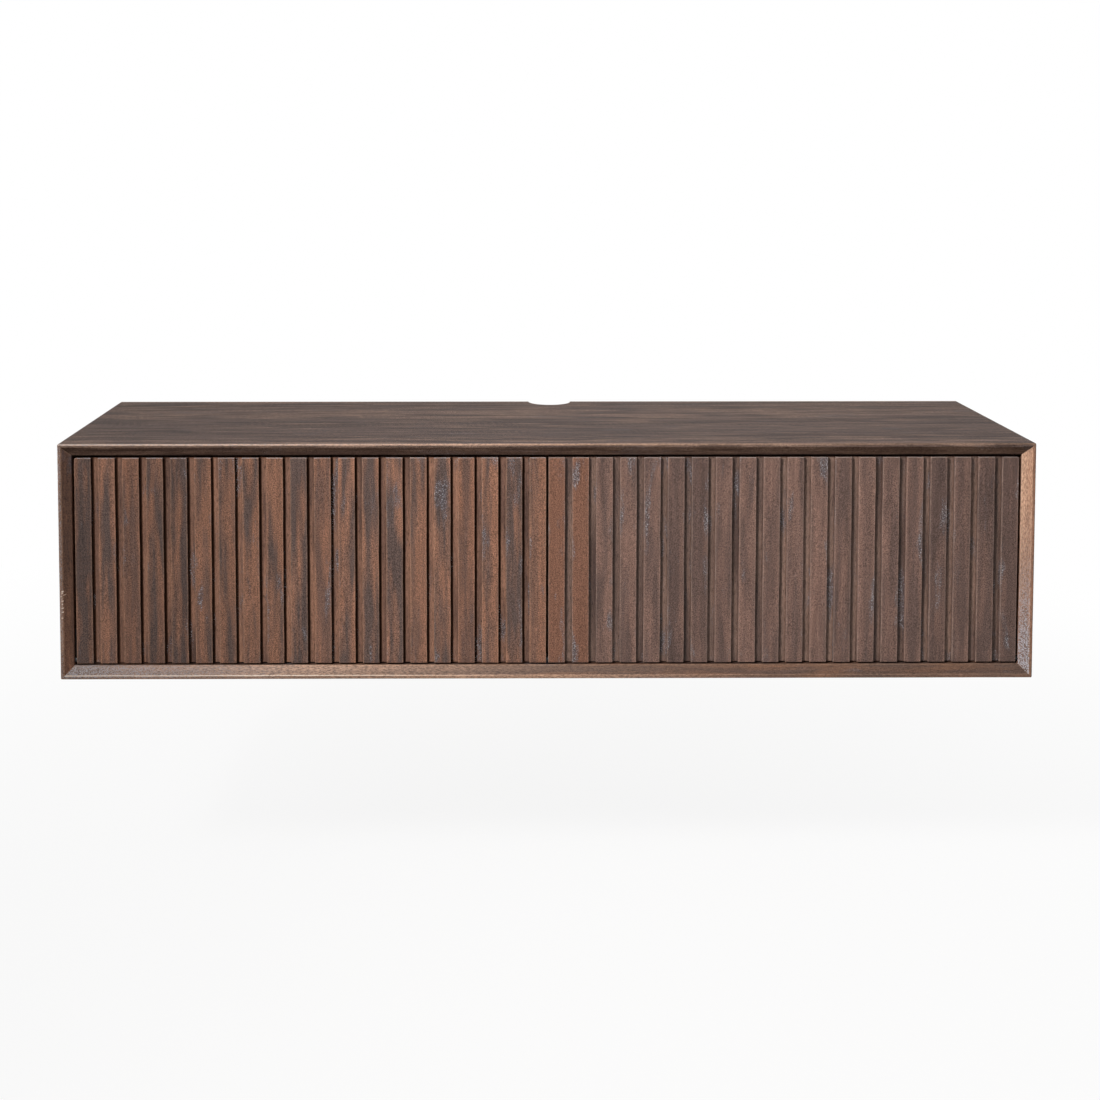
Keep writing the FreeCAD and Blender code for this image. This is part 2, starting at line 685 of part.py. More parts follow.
def pivot_pin():
    """Pin pressed through the right pivot plate into the flap's outer leaf."""
    return pivot_line(FLAP_OUTER_X - PIN_REACH, INNER_HALF_WIDTH, PIVOT_PIN_RADIUS)


def centre_pivot_pin():
    """Pin pressed through the centre blade, with an end in each flap."""
    reach = FLAP_INNER_X + PIN_REACH
    return pivot_line(-reach, reach, PIVOT_PIN_RADIUS)


def pivot_washers():
    """Thin washers between the fixed plates and the right flap's leaves."""
    inner = pivot_line(BLADE_THICKNESS / 2, FLAP_INNER_X - PARTING, WASHER_RADIUS)
    outer = pivot_line(FLAP_OUTER_X + PARTING, PLATE_FACE_X, WASHER_RADIUS)
    return [inner.cut(centre_pivot_pin()), outer.cut(pivot_pin())]


def foot_screws():
    """Two screws down through the centre bracket's foot, one each side of the blade."""
    y = PIVOT_Y + FOOT_LENGTH / 2
    return [screw(Vec(side * FOOT_SCREW_OFFSET, y, FLOOR_Z), -Z_AXIS) for side in (-1, 1)]


def centre_foot():
    """Foot of the centre bracket, let in flush with the bottom panel."""
    return block(
        (-FOOT_WIDTH / 2, FOOT_WIDTH / 2),
        (PIVOT_Y - LEAF_EYE_RADIUS, PIVOT_Y - LEAF_EYE_RADIUS + FOOT_LENGTH),
        (FLOOR_Z - FOOT_THICKNESS, FLOOR_Z),
    )


def centre_bracket():
    """Steel T between the flaps: a thin blade that carries the centre pin, on its foot."""
    half = BLADE_THICKNESS / 2
    eye = LEAF_EYE_RADIUS
    blade = stadium(
        Vec(0, PIVOT_Y, PIVOT_Z), Vec(0, PIVOT_Y + LEAF_SHANK_END, PIVOT_Z), eye, -half, half
    )
    stem = block(
        (-half, half),
        (PIVOT_Y - eye, PIVOT_Y + LEAF_SHANK_END + eye),
        (FLOOR_Z - FOOT_THICKNESS, PIVOT_Z),
    )
    bracket = blade.fuse(stem).fuse(centre_foot()).removeSplitter().cut(centre_pivot_pin())
    for fastener in foot_screws():
        bracket = bracket.cut(fastener)
    return bracket


# ---- Flap stays -------------------------------------------------------------------------
def on_stay_circle(degrees_from_upright):
    """Point on the circle about the flap's pivot that both ends of the stay share."""
    angle = math.radians(degrees_from_upright)
    y = PIVOT_Y + STAY_REACH * math.sin(angle)
    return Vec(0, y, PIVOT_Z + STAY_REACH * math.cos(angle))


def stay_arm_pivot():
    """Arm's pivot on the flap, at rest."""
    return on_stay_circle(STAY_PIVOT_LEAN)


def stay_fixed_point():
    """Fixed screw on the side panel."""
    return on_stay_circle(STAY_PIVOT_LEAN + STAY_SPREAD)


def stay_chord(flap_angle):
    """Distance from the arm's pivot to the fixed screw when the flap has turned so far."""
    half_angle = math.radians((STAY_SPREAD + flap_angle) / 2)
    return 2 * STAY_REACH * math.sin(half_angle)


def across(point, x):
    """The same point of the side view, at a distance x from the cabinet's middle."""
    return Vec(x, point.y, point.z)


def stay_arm():
    """Right stay arm: a flat bar, bored for its rivet and slotted for the fixed screw."""
    start = stay_arm_pivot()
    along = (stay_fixed_point() - start).normalize()
    near = start + along * (stay_chord(0) - STAY_END_EASE)
    far = start + along * (stay_chord(FLAP_OPENING) + STAY_END_EASE)
    bar = stadium(start, far, STAY_ARM_HALF_WIDTH, STAY_ARM_INNER_X, STAY_ARM_OUTER_X)
    tool_x = (STAY_ARM_INNER_X - OVERCUT, STAY_ARM_OUTER_X + OVERCUT)
    slot = stadium(near, far, STAY_SLOT_HALF_WIDTH, *tool_x)
    ends = [across(start, x) for x in tool_x]
    return bar.cut(slot).cut(rod(STAY_PIN_RADIUS + PIVOT_RUNNING_FIT, *ends))


def stay_rivet():
    """Rivet that joins the right arm to the bracket, a head at each end."""
    tail = STAY_BRACKET_INNER_X - STAY_RIVET_HEAD
    inner_face = STAY_BRACKET_INNER_X - tail
    outer_face = STAY_ARM_OUTER_X + PARTING - tail
    profile = [
        (0, 0),
        (0, STAY_SPACER_RADIUS),
        (inner_face, STAY_SPACER_RADIUS),
        (inner_face, STAY_PIN_RADIUS),
        (outer_face, STAY_PIN_RADIUS),
        (outer_face, STAY_SPACER_RADIUS),
        (outer_face + STAY_RIVET_HEAD, STAY_SPACER_RADIUS),
        (outer_face + STAY_RIVET_HEAD, 0),
    ]
    return turned(profile, across(stay_arm_pivot(), tail), X_AXIS)


def stay_bracket_screws():
    """Screws through the right bracket's base into the flap's back."""
    z = stay_arm_pivot().z
    y = FLAP_BACK_Y + STAY_BRACKET_THICKNESS
    return [screw(Vec(STAY_BRACKET_OUTER_X - x, y, z), -Y_AXIS) for x in STAY_BRACKET_SCREWS]


def stay_bracket():
    """Right bracket: a base screwed to the flap and a lug that reaches back to the rivet."""
    pivot = stay_arm_pivot()
    half = STAY_BRACKET_HALF_HEIGHT
    heights = (pivot.z - half, pivot.z + half)
    depths = (FLAP_BACK_Y, FLAP_BACK_Y + STAY_BRACKET_THICKNESS)
    base = block((STAY_BRACKET_OUTER_X - STAY_BRACKET_BASE, STAY_BRACKET_OUTER_X), depths, heights)
    lug = stadium(
        Vec(0, FLAP_BACK_Y + STAY_LUG_RADIUS, pivot.z),
        Vec(0, pivot.y, pivot.z),
        STAY_LUG_RADIUS,
        STAY_BRACKET_INNER_X,
        STAY_BRACKET_OUTER_X,
    )
    root = block(
        (STAY_BRACKET_INNER_X, STAY_BRACKET_OUTER_X),
        (FLAP_BACK_Y, FLAP_BACK_Y + STAY_LUG_RADIUS),
        (pivot.z - STAY_LUG_RADIUS, pivot.z + STAY_LUG_RADIUS),
    )
    bracket = base.fuse(lug).fuse(root).removeSplitter().cut(stay_rivet())
    for fastener in stay_bracket_screws():
        bracket = bracket.cut(fastener)
    return bracket


def stay_screw():
    """Shoulder screw that the right arm slides on, driven into the side panel."""
    head_face = STAY_BRACKET_OUTER_X - STAY_HEAD_THICKNESS
    length = INNER_HALF_WIDTH + STAY_SCREW_BITE - head_face
    profile = [
        (0, 0),
        (0, STAY_HEAD_RADIUS),
        (STAY_HEAD_THICKNESS, STAY_HEAD_RADIUS),
        (STAY_HEAD_THICKNESS, STAY_PIN_RADIUS),
        (length, STAY_PIN_RADIUS),
        (length, 0),
    ]
    return turned(profile, across(stay_fixed_point(), head_face), X_AXIS)


def stay_spacer():
    """Flanged sleeve that keeps the right arm off the side panel."""
    tip = STAY_ARM_OUTER_X + PARTING
    length = INNER_HALF_WIDTH - tip
    profile = [
        (0, STAY_PIN_RADIUS),
        (0, STAY_SPACER_RADIUS),
        (length - STAY_SPACER_FLANGE, STAY_SPACER_RADIUS),
        (length - STAY_SPACER_FLANGE, STAY_SPACER_FLANGE_RADIUS),
        (length, STAY_SPACER_FLANGE_RADIUS),
        (length, STAY_PIN_RADIUS),
    ]
    return turned(profile, across(stay_fixed_point(), tip), X_AXIS)


# ---- Flaps ----------------------------------------------------------------------------
def corner_waste():
    """Cutter that rounds the right flap's outer top corner."""
    x = FLAP_OUTER_X - FLAP_CORNER_RADIUS
    z = FLAP_TOP_Z - FLAP_CORNER_RADIUS
    front, rear = FLAP_FACE_Y - OVERCUT, FLAP_BACK_Y + OVERCUT
    waste = block((x, FLAP_OUTER_X + OVERCUT), (front, rear), (z, FLAP_TOP_Z + OVERCUT))
    return waste.cut(rod(FLAP_CORNER_RADIUS, Vec(x, front, z), Vec(x, rear, z)))


def flap_panel():
    """Right flap's backing board, with pockets for the leaves and the strike plate."""
    board = block(
        (FLAP_INNER_X, FLAP_OUTER_X), (BACKING_FACE_Y, FLAP_BACK_Y), (FLAP_BOTTOM_Z, FLAP_TOP_Z)
    )
    cutters = leaf_pockets() + flap_end_screws() + stay_bracket_screws()
    for cutter in cutters + [strike_plate(), corner_waste()]:
        board = board.cut(cutter)
    return board


def slat_blank():
    """One slat at the right flap's inner end, its front edges and ends eased."""
    slat = block(
        (FLAP_INNER_X, FLAP_INNER_X + SLAT_WIDTH),
        (FLAP_FACE_Y, BACKING_FACE_Y),
        (FLAP_BOTTOM_Z, FLAP_TOP_Z),
    )
    front = [edge for edge in slat.Edges if abs(edge.CenterOfMass.y - FLAP_FACE_Y) < PARTING]
    middle_z = (FLAP_BOTTOM_Z + FLAP_TOP_Z) / 2
    sides = [edge for edge in front if abs(edge.CenterOfMass.z - middle_z) < SLAT_WIDTH]
    slat = slat.makeChamfer(SLAT_SIDE_CHAMFER, sides)
    chamfer = [
        Vec(FLAP_INNER_X - OVERCUT, FLAP_FACE_Y - OVERCUT, 0),
        Vec(FLAP_INNER_X - OVERCUT, FLAP_FACE_Y + SLAT_END_CHAMFER, 0),
        Vec(FLAP_INNER_X - OVERCUT, FLAP_FACE_Y - OVERCUT, SLAT_END_CHAMFER + OVERCUT),
    ]
    length = X_AXIS * (SLAT_WIDTH + 2 * OVERCUT)
    lower = prism(chamfer, length)
    lower.translate(Vec(0, 0, FLAP_BOTTOM_Z))
    upper = lower.mirror(Vec(0, 0, middle_z), Z_AXIS)
    return slat.cut(lower).cut(upper)


def slats():
    """The right flap's slats, evenly spaced with one flush at each end."""
    blank = slat_blank()
    places = [blank.translated(X_AXIS * (number * SLAT_PITCH)) for number in range(SLATS_PER_FLAP)]
    cutters = leaf_pockets() + [corner_waste()]
    for end in (0, -1):
        for cutter in cutters:
            places[end] = places[end].cut(cutter)
    return places


# ---- Assembly ------------------------------------------------------------------------
def carcase_panels():
    """Top, bottom and right side panels, each cut from the tube at its mitres."""
    tube = carcase_tube()
    top = tube.common(mitre_wedge((-1, 1), (1, 1)))
    bottom = tube.common(mitre_wedge((-1, -1), (1, -1)))
    side = tube.common(mitre_wedge((1, 1), (1, -1)))
    backs = with_mirror([back_blank()])
    dowels = divider_dowels()
    for cutter in backs + mitre_splines() + dowels:
        top = top.cut(cutter)
        bottom = bottom.cut(cutter)
    for cutter in [backs[0]] + mitre_splines() + plate_screws() + [stay_screw()]:
        side = side.cut(cutter)
    for cutter in [centre_foot()] + foot_screws():
        bottom = bottom.cut(cutter)
    return top.cut(cable_notch()), bottom, side


def single_pieces(top, bottom):
    """Pieces that stand on or across the cabinet's middle."""
    dowels = divider_dowels()
    return {
        "top_panel": top,
        "bottom_panel": bottom,
        "mitre_splines": group(mitre_splines()),
        "centre_divider": centre_divider(dowels),
        "divider_dowels": group(dowels),
        "wall_rail": wall_rail(),
        "centre_pivot_bracket": centre_bracket(),
        "centre_pivot_pin": centre_pivot_pin(),
        "pivot_washers": group(with_mirror(pivot_washers())),
        "pivot_screws": group(with_mirror(plate_screws()) + foot_screws()),
    }


def right_pieces(side):
    """Pieces of the right half, each of which has a mirror image on the left."""
    inner_leaf_x, outer_leaf_x = leaf_starts()
    return {
        "side_panel": side,
        "back_panel": back_panel(),
        "cable_grommet": cable_grommet(),
        "hanging_rail": hanging_rail(),
        "stop_rail": stop_rail(),
        "stop_buffers": group(buffers()),
        "latch_housing": latch_housing(),
        "latch_plunger": latch_plunger(),
        "latch_spring": latch_spring(),
        "pivot_plate": pivot_plate(),
        "pivot_pin": pivot_pin(),
        "flap_panel": flap_panel(),
        "flap_slats": group(slats()),
        "flap_inner_leaf": flap_leaf(inner_leaf_x),
        "flap_outer_leaf": flap_leaf(outer_leaf_x),
        "flap_screws": group(flap_end_screws() + stay_bracket_screws()),
        "strike_plate": strike_plate(),
        "stay_arm": stay_arm(),
        "stay_bracket": stay_bracket(),
        "stay_rivet": stay_rivet(),
        "stay_screw": stay_screw(),
        "stay_spacer": stay_spacer(),
    }


def all_pieces():
    """Every piece by its node name."""
    top, bottom, side = carcase_panels()
    pieces = single_pieces(top, bottom)
    for name, shape in right_pieces(side).items():
        pieces["right_" + name] = shape
        pieces["left_" + name] = mirrored(shape)
    return pieces


def main():
    """Build every piece and write it to its own STEP file."""
    os.makedirs("parts", exist_ok=True)
    for name, shape in all_pieces().items():
        shape.exportStep(os.path.join("parts", name + ".step"))
        print(f"{name}: {len(shape.Solids)} solids, {shape.Volume:.0f} mm3, {shape.isValid()}")
    pivot = stay_arm_pivot()
    print(f"flap pivot y {PIVOT_Y:.3f} z {PIVOT_Z:.3f}")
    print(f"stay arm pivot y {pivot.y:.4f} z {pivot.z:.4f}")


main()
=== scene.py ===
import logging
import math
from dataclasses import dataclass, field
from enum import Enum
from functools import partial
from typing import Iterable, NamedTuple, Sequence

import bmesh
import bpy
from bpy.types import Node, NodeSocket, NodeTree, Object
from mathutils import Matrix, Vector, noise


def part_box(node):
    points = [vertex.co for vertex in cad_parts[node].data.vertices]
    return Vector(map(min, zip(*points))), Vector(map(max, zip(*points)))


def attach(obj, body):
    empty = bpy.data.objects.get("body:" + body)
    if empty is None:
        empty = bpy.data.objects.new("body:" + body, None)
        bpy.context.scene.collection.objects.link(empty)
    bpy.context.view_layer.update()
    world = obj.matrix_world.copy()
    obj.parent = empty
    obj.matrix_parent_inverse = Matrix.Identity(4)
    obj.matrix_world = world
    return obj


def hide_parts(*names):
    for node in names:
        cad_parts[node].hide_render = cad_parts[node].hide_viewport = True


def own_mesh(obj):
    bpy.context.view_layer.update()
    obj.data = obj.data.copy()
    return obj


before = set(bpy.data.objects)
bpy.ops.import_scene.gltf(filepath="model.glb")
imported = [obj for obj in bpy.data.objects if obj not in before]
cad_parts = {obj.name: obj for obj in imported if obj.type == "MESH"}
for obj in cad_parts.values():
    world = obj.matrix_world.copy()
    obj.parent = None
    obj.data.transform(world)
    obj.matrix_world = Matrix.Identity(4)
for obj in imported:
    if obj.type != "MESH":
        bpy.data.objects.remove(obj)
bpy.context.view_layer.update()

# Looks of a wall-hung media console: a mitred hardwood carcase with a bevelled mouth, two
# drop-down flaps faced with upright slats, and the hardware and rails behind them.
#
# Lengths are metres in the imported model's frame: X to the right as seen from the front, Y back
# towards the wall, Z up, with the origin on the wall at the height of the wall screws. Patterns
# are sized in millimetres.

LOG = logging.getLogger("console")
MM = 0.001
# Levels between which nearly all of a random figure lies.
FAINT, STRONG = 0.34, 0.66
# What a mesh tells its finish, as one value at each point, painted shade and painted highlight
# among them.
MARKS = ("wear", "margin", "painted_highlight", "board", "tone", "warm")

Place = tuple[float, float, float]


class Grain(Enum):
    """How a board lies: the axes that run along, across and through its fibres."""

    LENGTHWISE = ("X", "Y", "Z")
    UPRIGHT_SIDE = ("Z", "Y", "X")
    UPRIGHT_FRONT = ("Z", "X", "Y")


class Side(Enum):
    """Half of the cabinet; the value is the sign of its X."""

    LEFT = -1
    RIGHT = 1

    @property
    def prefix(self) -> str:
        """Start of the names of this half's nodes and bodies."""
        return self.name.lower() + "_"


class Panel(Enum):
    """One of the four outer panels, with the name of its node."""

    TOP = "top_panel"
    BOTTOM = "bottom_panel"
    LEFT = "left_side_panel"
    RIGHT = "right_side_panel"


class Spot(NamedTuple):
    """A point of a surface with the marks that its finish shows there, painted shade and painted
    highlight among them.
    """

    point: Vector
    wear: float = 0.0  # 1 is rubbed through the stain, 2 down to bare timber; partly painted highlight on the carcase's lit faces
    margin: float = 0.0  # up to 1 towards a slat's side; above 1 painted shade, darkest at 2, at slats' feet and in corners
    painted_highlight: float = 0.0  # painted highlight, drawn as milky lacquer, from 0 to 1


class Figure(NamedTuple):
    """A random figure in timber: its usual size, its finer layers and its place in the tree."""

    along_mm: float
    across_mm: float
    detail: float = 2.0
    shift_mm: float = 0.0


# ---- Colour and nodes ---------------------------------------------------------------------


def linear(colour: str) -> tuple[float, float, float, float]:
    """Turn an sRGB hex colour into linear light.

    Args:
        colour: Six hex digits after a hash sign.

    Returns:
        Red, green, blue and an alpha of one.
    """
    parts = [int(colour[start : start + 2], 16) / 255 for start in (1, 3, 5)]
    red, green, blue = [
        part / 12.92 if part <= 0.04045 else ((part + 0.055) / 1.055) ** 2.4 for part in parts
    ]
    return red, green, blue, 1.0


def feed(tree: NodeTree, node: Node, links: dict) -> None:
    """Set a node's inputs, or join them to the nodes before it.

    Args:
        tree: Node tree that holds the node.
        node: The node.
        links: Values, sockets or nodes by input name or number. A node gives its first output.
    """
    for key, value in links.items():
        if isinstance(key, int):
            socket = node.inputs[key]
        else:
            socket = next(s for s in node.inputs if s.name == key and s.enabled)
        if isinstance(value, Node):
            value = next(s for s in value.outputs if s.enabled)
        if isinstance(value, NodeSocket):
            tree.links.new(value, socket)
        else:
            socket.default_value = value


def add_node(
    tree: NodeTree,
    kind: str,
    links: dict | None = None,
    stops: Sequence[tuple[float, float]] = (),
    **settings: object,
) -> Node:
    """Add a node, set it up and join it to the nodes before it.

    Args:
        tree: Node tree that gets the node.
        kind: Name of the node's type, without the start that all of them share.
        links: Inputs, as for feed.
        stops: A colour ramp's two grey levels, as pairs of position and level.
        settings: Properties of the node.

    Returns:
        The new node.
    """
    node = tree.nodes.new("ShaderNode" + kind)
    for name, value in settings.items():
        setattr(node, name, value)
    feed(tree, node, links or {})
    for number, (position, level) in enumerate(stops):
        element = node.color_ramp.elements[number]
        element.position = position
        element.color = (level, level, level, 1.0)
    return node


def cleared(owner: bpy.types.Material | bpy.types.World) -> NodeTree:
    """Give a material or a world an empty node tree.

    Args:
        owner: The material or world.

    Returns:
        Its node tree.
    """
    owner.use_nodes = True
    owner.node_tree.nodes.clear()
    return owner.node_tree


def seen_rays(tree: NodeTree) -> Node:
    """Tell rays that the eye sees, straight or by a shine or through glass, from lighting rays.

    Args:
        tree: Node tree of a material or world.

    Returns:
        A node that gives 1 for a ray that is seen.
    """
    rays = add_node(tree, "LightPath")
    seen = rays.outputs["Is Camera Ray"]
    for name in ("Is Glossy Ray", "Is Transmission Ray"):
        seen = add_node(tree, "Math", {0: seen, 1: rays.outputs[name]}, operation="MAXIMUM")
    return seen


# ---- Finishes -----------------------------------------------------------------------------


@dataclass(frozen=True)
class Finish:
    """A surface as it is made, which can be turned into a material."""

    name: str

    def material(self) -> bpy.types.Material:
        """Find this finish's material, or make it the first time.

        Returns:
            The material.
        """
        made = bpy.data.materials.get(self.name)
        if made is None:
            made = bpy.data.materials.new(self.name)
            tree = cleared(made)
            add_node(tree, "OutputMaterial", {"Surface": self.surface(tree)})
        return made

    def surface(self, tree: NodeTree) -> Node:
        """Make the shader that the surface shows.

        Args:
            tree: The material's node tree.

        Returns:
            The shader.
        """
        shader = add_node(tree, "BsdfPrincipled")
        self.dress(tree, shader)
        return shader

    def dress(self, tree: NodeTree, shader: Node) -> None:
        """Add the finish's patterns to its shader.

        Args:
            tree: The material's node tree.
            shader: Its Principled shader.
        """
        raise NotImplementedError

    def millimetres(self, tree: NodeTree) -> Node:
        """Node that gives the place on the object in millimetres, in the object's own frame."""
        place = add_node(tree, "TexCoord").outputs["Object"]
        return add_node(tree, "VectorMath", {0: place, "Scale": 1 / MM}, operation="SCALE")


@dataclass(frozen=True)
class TimberFinish(Finish):
    """Shared by all timber: a place measured along, across and through the fibres."""

    grain: Grain
    board_mm: float = 1000.0  # width of the boards that a wide panel is glued up from
    meander_mm: float = 7.0  # how far the fibres wander sideways

    def fibres(self, tree: NodeTree) -> tuple[Node, NodeSocket]:
        """Lay out the fibres, with every board cut from its own part of a tree.

        Args:
            tree: The material's node tree.

        Returns:
            The place along the fibres, and a random number from 0 to 1 for each board.
        """
        add = partial(add_node, tree)
        split = add("SeparateXYZ", {0: self.millimetres(tree)})
        along, across, through = (split.outputs[axis] for axis in self.grain.value)
        strip = add("Math", {0: across, 1: self.board_mm}, operation="DIVIDE")
        strip = add("Math", {0: strip}, operation="FLOOR")
        # More strips than any panel has keep the boards' numbers apart.
        board = add("Attribute", attribute_name="board").outputs["Fac"]
        number = add("Math", {0: board, 1: 97.0, 2: strip}, operation="MULTIPLY_ADD")
        chance = add("TexWhiteNoise", {"W": number}, noise_dimensions="1D")
        # Boards come from places up to 700 mm apart in the tree.
        start = add("VectorMath", {0: chance.outputs["Color"], "Scale": 700.0}, operation="SCALE")
        place = add("CombineXYZ", {0: along, 1: across, 2: through})
        place = add("VectorMath", {0: place, 1: start}, operation="ADD")
        bend = self.figure(tree, place, Figure(190.0, 60.0, detail=1.0))
        bend = add("MapRange", {0: bend, 3: -self.meander_mm, 4: self.meander_mm})
        sideways = add("CombineXYZ", {1: bend, 2: bend})
        place = add("VectorMath", {0: place, 1: sideways}, operation="ADD")
        return place, chance.outputs["Value"]

    def figure(self, tree: NodeTree, place: Node, shape: Figure) -> Node:
        """Draw a random figure that is stretched along the fibres.

        Args:
            tree: The material's node tree.
            place: Place along the fibres, in millimetres.
            shape: The figure.

        Returns:
            A node that gives 0 to 1.
        """
        add = partial(add_node, tree)
        moved = add("VectorMath", {0: place, 1: (shape.shift_mm,) * 3}, operation="ADD")
        size = (1 / shape.along_mm, 1 / shape.across_mm, 1 / shape.across_mm)
        scaled = add("VectorMath", {0: moved, 1: size}, operation="MULTIPLY")
        settings = {"Vector": scaled, "Scale": 1.0, "Detail": shape.detail, "Roughness": 0.55}
        return add("TexNoise", settings)


@dataclass(frozen=True)
class StainedMango(TimberFinish):
    """Solid mango, planed, stained walnut by hand and sealed with satin lacquer.

    The eye sees a deep brown with long rust-brown streaks where the stain is thin, slate blotches
    with frosty specks where it lies thick, a fine ripple across the fibres, short open pores, and
    arrises where the stain is rubbed through to a smooth sheen. Painted shade darkens the slats'
    feet, the grooves' corners and the top's bevel, and painted highlights lie on the slats' top
    ends and on the carcase's lit arrises and bevels.
    """

    ground: str = "#614a40"
    ember: str = "#9a6b53"
    amber: str = "#7a5340"
    deep: str = "#3f2f2a"
    slate: str = "#4b4649"
    pore: str = "#1c1310"
    # Colour of painted shade at the slats' feet, in the grooves' corners and on the top's bevel.
    painted_shade: str = "#241108"
    # Rubbed and bare timber; on the carcase's lit faces they also paint highlights.
    rubbed: str = "#d3a98d"
    bare: str = "#eadaca"
    # Frosty lacquer specks, and the colour of the painted highlights.
    frost: str = "#a8a5aa"
    ember_share: float = 0.8
    deep_share: float = 0.7
    slate_share: float = 0.8
    frost_share: float = 0.75
    slate_from: float = 0.61  # level of the blotch figure at which the slate colour starts
    heart_edges: tuple[float, float] = (0.42, 0.68)  # levels between which a streak grows
    streak_edges: tuple[float, float] = (0.44, 0.70)
    fibre_mm: float = 10.0
    pore_mm: float = 7.0
    pore_share: float = 0.8
    board_tone: float = 0.22  # how much lighter or darker one board is than the next
    # How far fibres, growth rings and ripple lighten or darken the colour.
    reaches: tuple[float, float, float] = (0.24, 0.14, 0.20)
    relief_mm: float = 0.3
    roughness: float = 0.46
    arris_roughness: float = 0.34
    specular: float = 0.22
    ior: float = 1.5

    def dress(self, tree: NodeTree, shader: Node) -> None:
        """Add streaks, blotches, fibres, pores, ripple, rubbed arrises, painted shade and painted
        highlights to the shader.

        Args:
            tree: The material's node tree.
            shader: Its Principled shader.
        """
        add = partial(add_node, tree)
        place, chance = self.fibres(tree)
        wear, margin, painted_highlight, plank_and_shade, warm = (
            add("Attribute", attribute_name=mark).outputs["Fac"]
            for mark in ("wear", "margin", "painted_highlight", "tone", "warm")
        )

        # Dark heart streaks about 25 mm wide and 200 mm long.
        heart = self.figure(tree, place, Figure(210.0, 17.0, shift_mm=617.0))
        low, high = self.heart_edges
        heart = add("ValToRGB", {0: heart}, ((low, 0), (high, self.deep_share)))

        # Rust streaks 10 to 25 mm wide and 50 to 150 mm long, where the stain took thinly. They
        # gather near a slat's sides, and on some boards more than on others.
        streak = self.figure(tree, place, Figure(150.0, 14.0))
        streak = add("Math", {0: margin, 1: 0.06, 2: streak}, operation="MULTIPLY_ADD")
        taken = add("MapRange", {0: chance, 3: -0.09, 4: 0.09})
        streak = add("Math", {0: streak, 1: taken}, operation="ADD")
        low, high = self.streak_edges
        streak = add("ValToRGB", {0: streak}, ((low, 0), (high, self.ember_share)))

        # Slate blotches about 25 mm wide, where it pooled.
        blotch = self.figure(tree, place, Figure(95.0, 25.0, detail=3.0, shift_mm=431.0))
        blotch = add("Math", {0: margin, 1: 0.03, 2: blotch}, operation="MULTIPLY_ADD")
        level = self.slate_from
        thick = add("ValToRGB", {0: blotch}, ((level, 0), (level + 0.12, self.slate_share)))

        colour = linear(self.ground)
        stain = ((self.deep, heart), (self.ember, streak), (self.amber, warm), (self.slate, thick))
        for tint, share in stain:
            layers = {"Factor": share, "A": colour, "B": linear(tint)}
            colour = add("Mix", layers, data_type="RGBA")

        # Fibres 0.3 mm wide in the timber, drawn 1.2 mm wide so that they show.
        fibre = self.figure(tree, place, Figure(self.fibre_mm, 1.1, shift_mm=97.0))
        # Growth rings 3 mm apart.
        growth = self.figure(tree, place, Figure(150.0, 3.4, shift_mm=211.0))
        # Dimples of the hand-rubbed lacquer, 2 mm apart.
        ripple = self.figure(tree, place, Figure(1.6, 1.4, shift_mm=59.0))
        tone = self.board_tone
        shade = add("MapRange", {0: chance, 3: 1 - tone, 4: 1 + tone})
        # Board tone; on the left flap's outer slats it is painted shade.
        shade = add("Math", {0: shade, 1: plank_and_shade}, operation="ADD")
        for pattern, reach in zip((fibre, growth, ripple), self.reaches):
            span = {0: pattern, 1: FAINT, 2: STRONG, 3: 1 - reach, 4: 1 + reach}
            shade = add("Math", {0: shade, 1: add("MapRange", span)}, operation="MULTIPLY")
        colour = add("VectorMath", {0: colour, "Scale": shade}, operation="SCALE")

        # Open pores 0.2 mm wide and 3 to 8 mm long, drawn 0.8 mm wide so that they show.
        pores = self.figure(tree, place, Figure(self.pore_mm, 0.8, detail=1.0, shift_mm=13.0))
        pores = add("ValToRGB", {0: pores}, ((0.6, 0), (0.7, self.pore_share)))
        # Painted shade along the slats' feet and in the grooves' corners, where the slats' shadows
        # fall, and on the top's bevel.
        foot = add("MapRange", {0: margin, 1: 1.0, 2: 1.6, 3: 0.0, 4: 0.9})
        # Frosty specks of lacquer, 1 mm across, in the thick of the blotches; the right flap's
        # whiter specks are partly painted glints.
        speck = self.figure(tree, place, Figure(1.5, 1.3, detail=0.0, shift_mm=331.0))
        speck = add("ValToRGB", {0: speck}, ((0.62, 0), (0.68, self.frost_share)))
        core = add("ValToRGB", {0: blotch}, ((level + 0.01, 0), (level + 0.08, 1.0)))
        speck = add("Math", {0: speck, 1: core}, operation="MULTIPLY")
        # Arrises rubbed through in flecks 5 mm long, and to bare timber where the wear is 2; where
        # the carcase's wear is raised on faces that catch the light, these layers are partly
        # painted highlight.
        fleck = self.figure(tree, place, Figure(5.0, 1.4, detail=3.0, shift_mm=173.0))
        fleck = add("MapRange", {0: fleck, 1: 0.38, 2: 0.62, 3: 0.2})
        rub = add("Math", {0: wear, 1: fleck}, operation="MULTIPLY")
        chip = self.figure(tree, place, Figure(4.0, 2.0, shift_mm=277.0))
        chip = add("ValToRGB", {0: chip}, ((0.34, 0), (0.46, 1.0)))
        worst = add("MapRange", {0: wear, 1: 1.0, 2: 2.0})
        worst = add("Math", {0: worst, 1: chip}, operation="MULTIPLY")
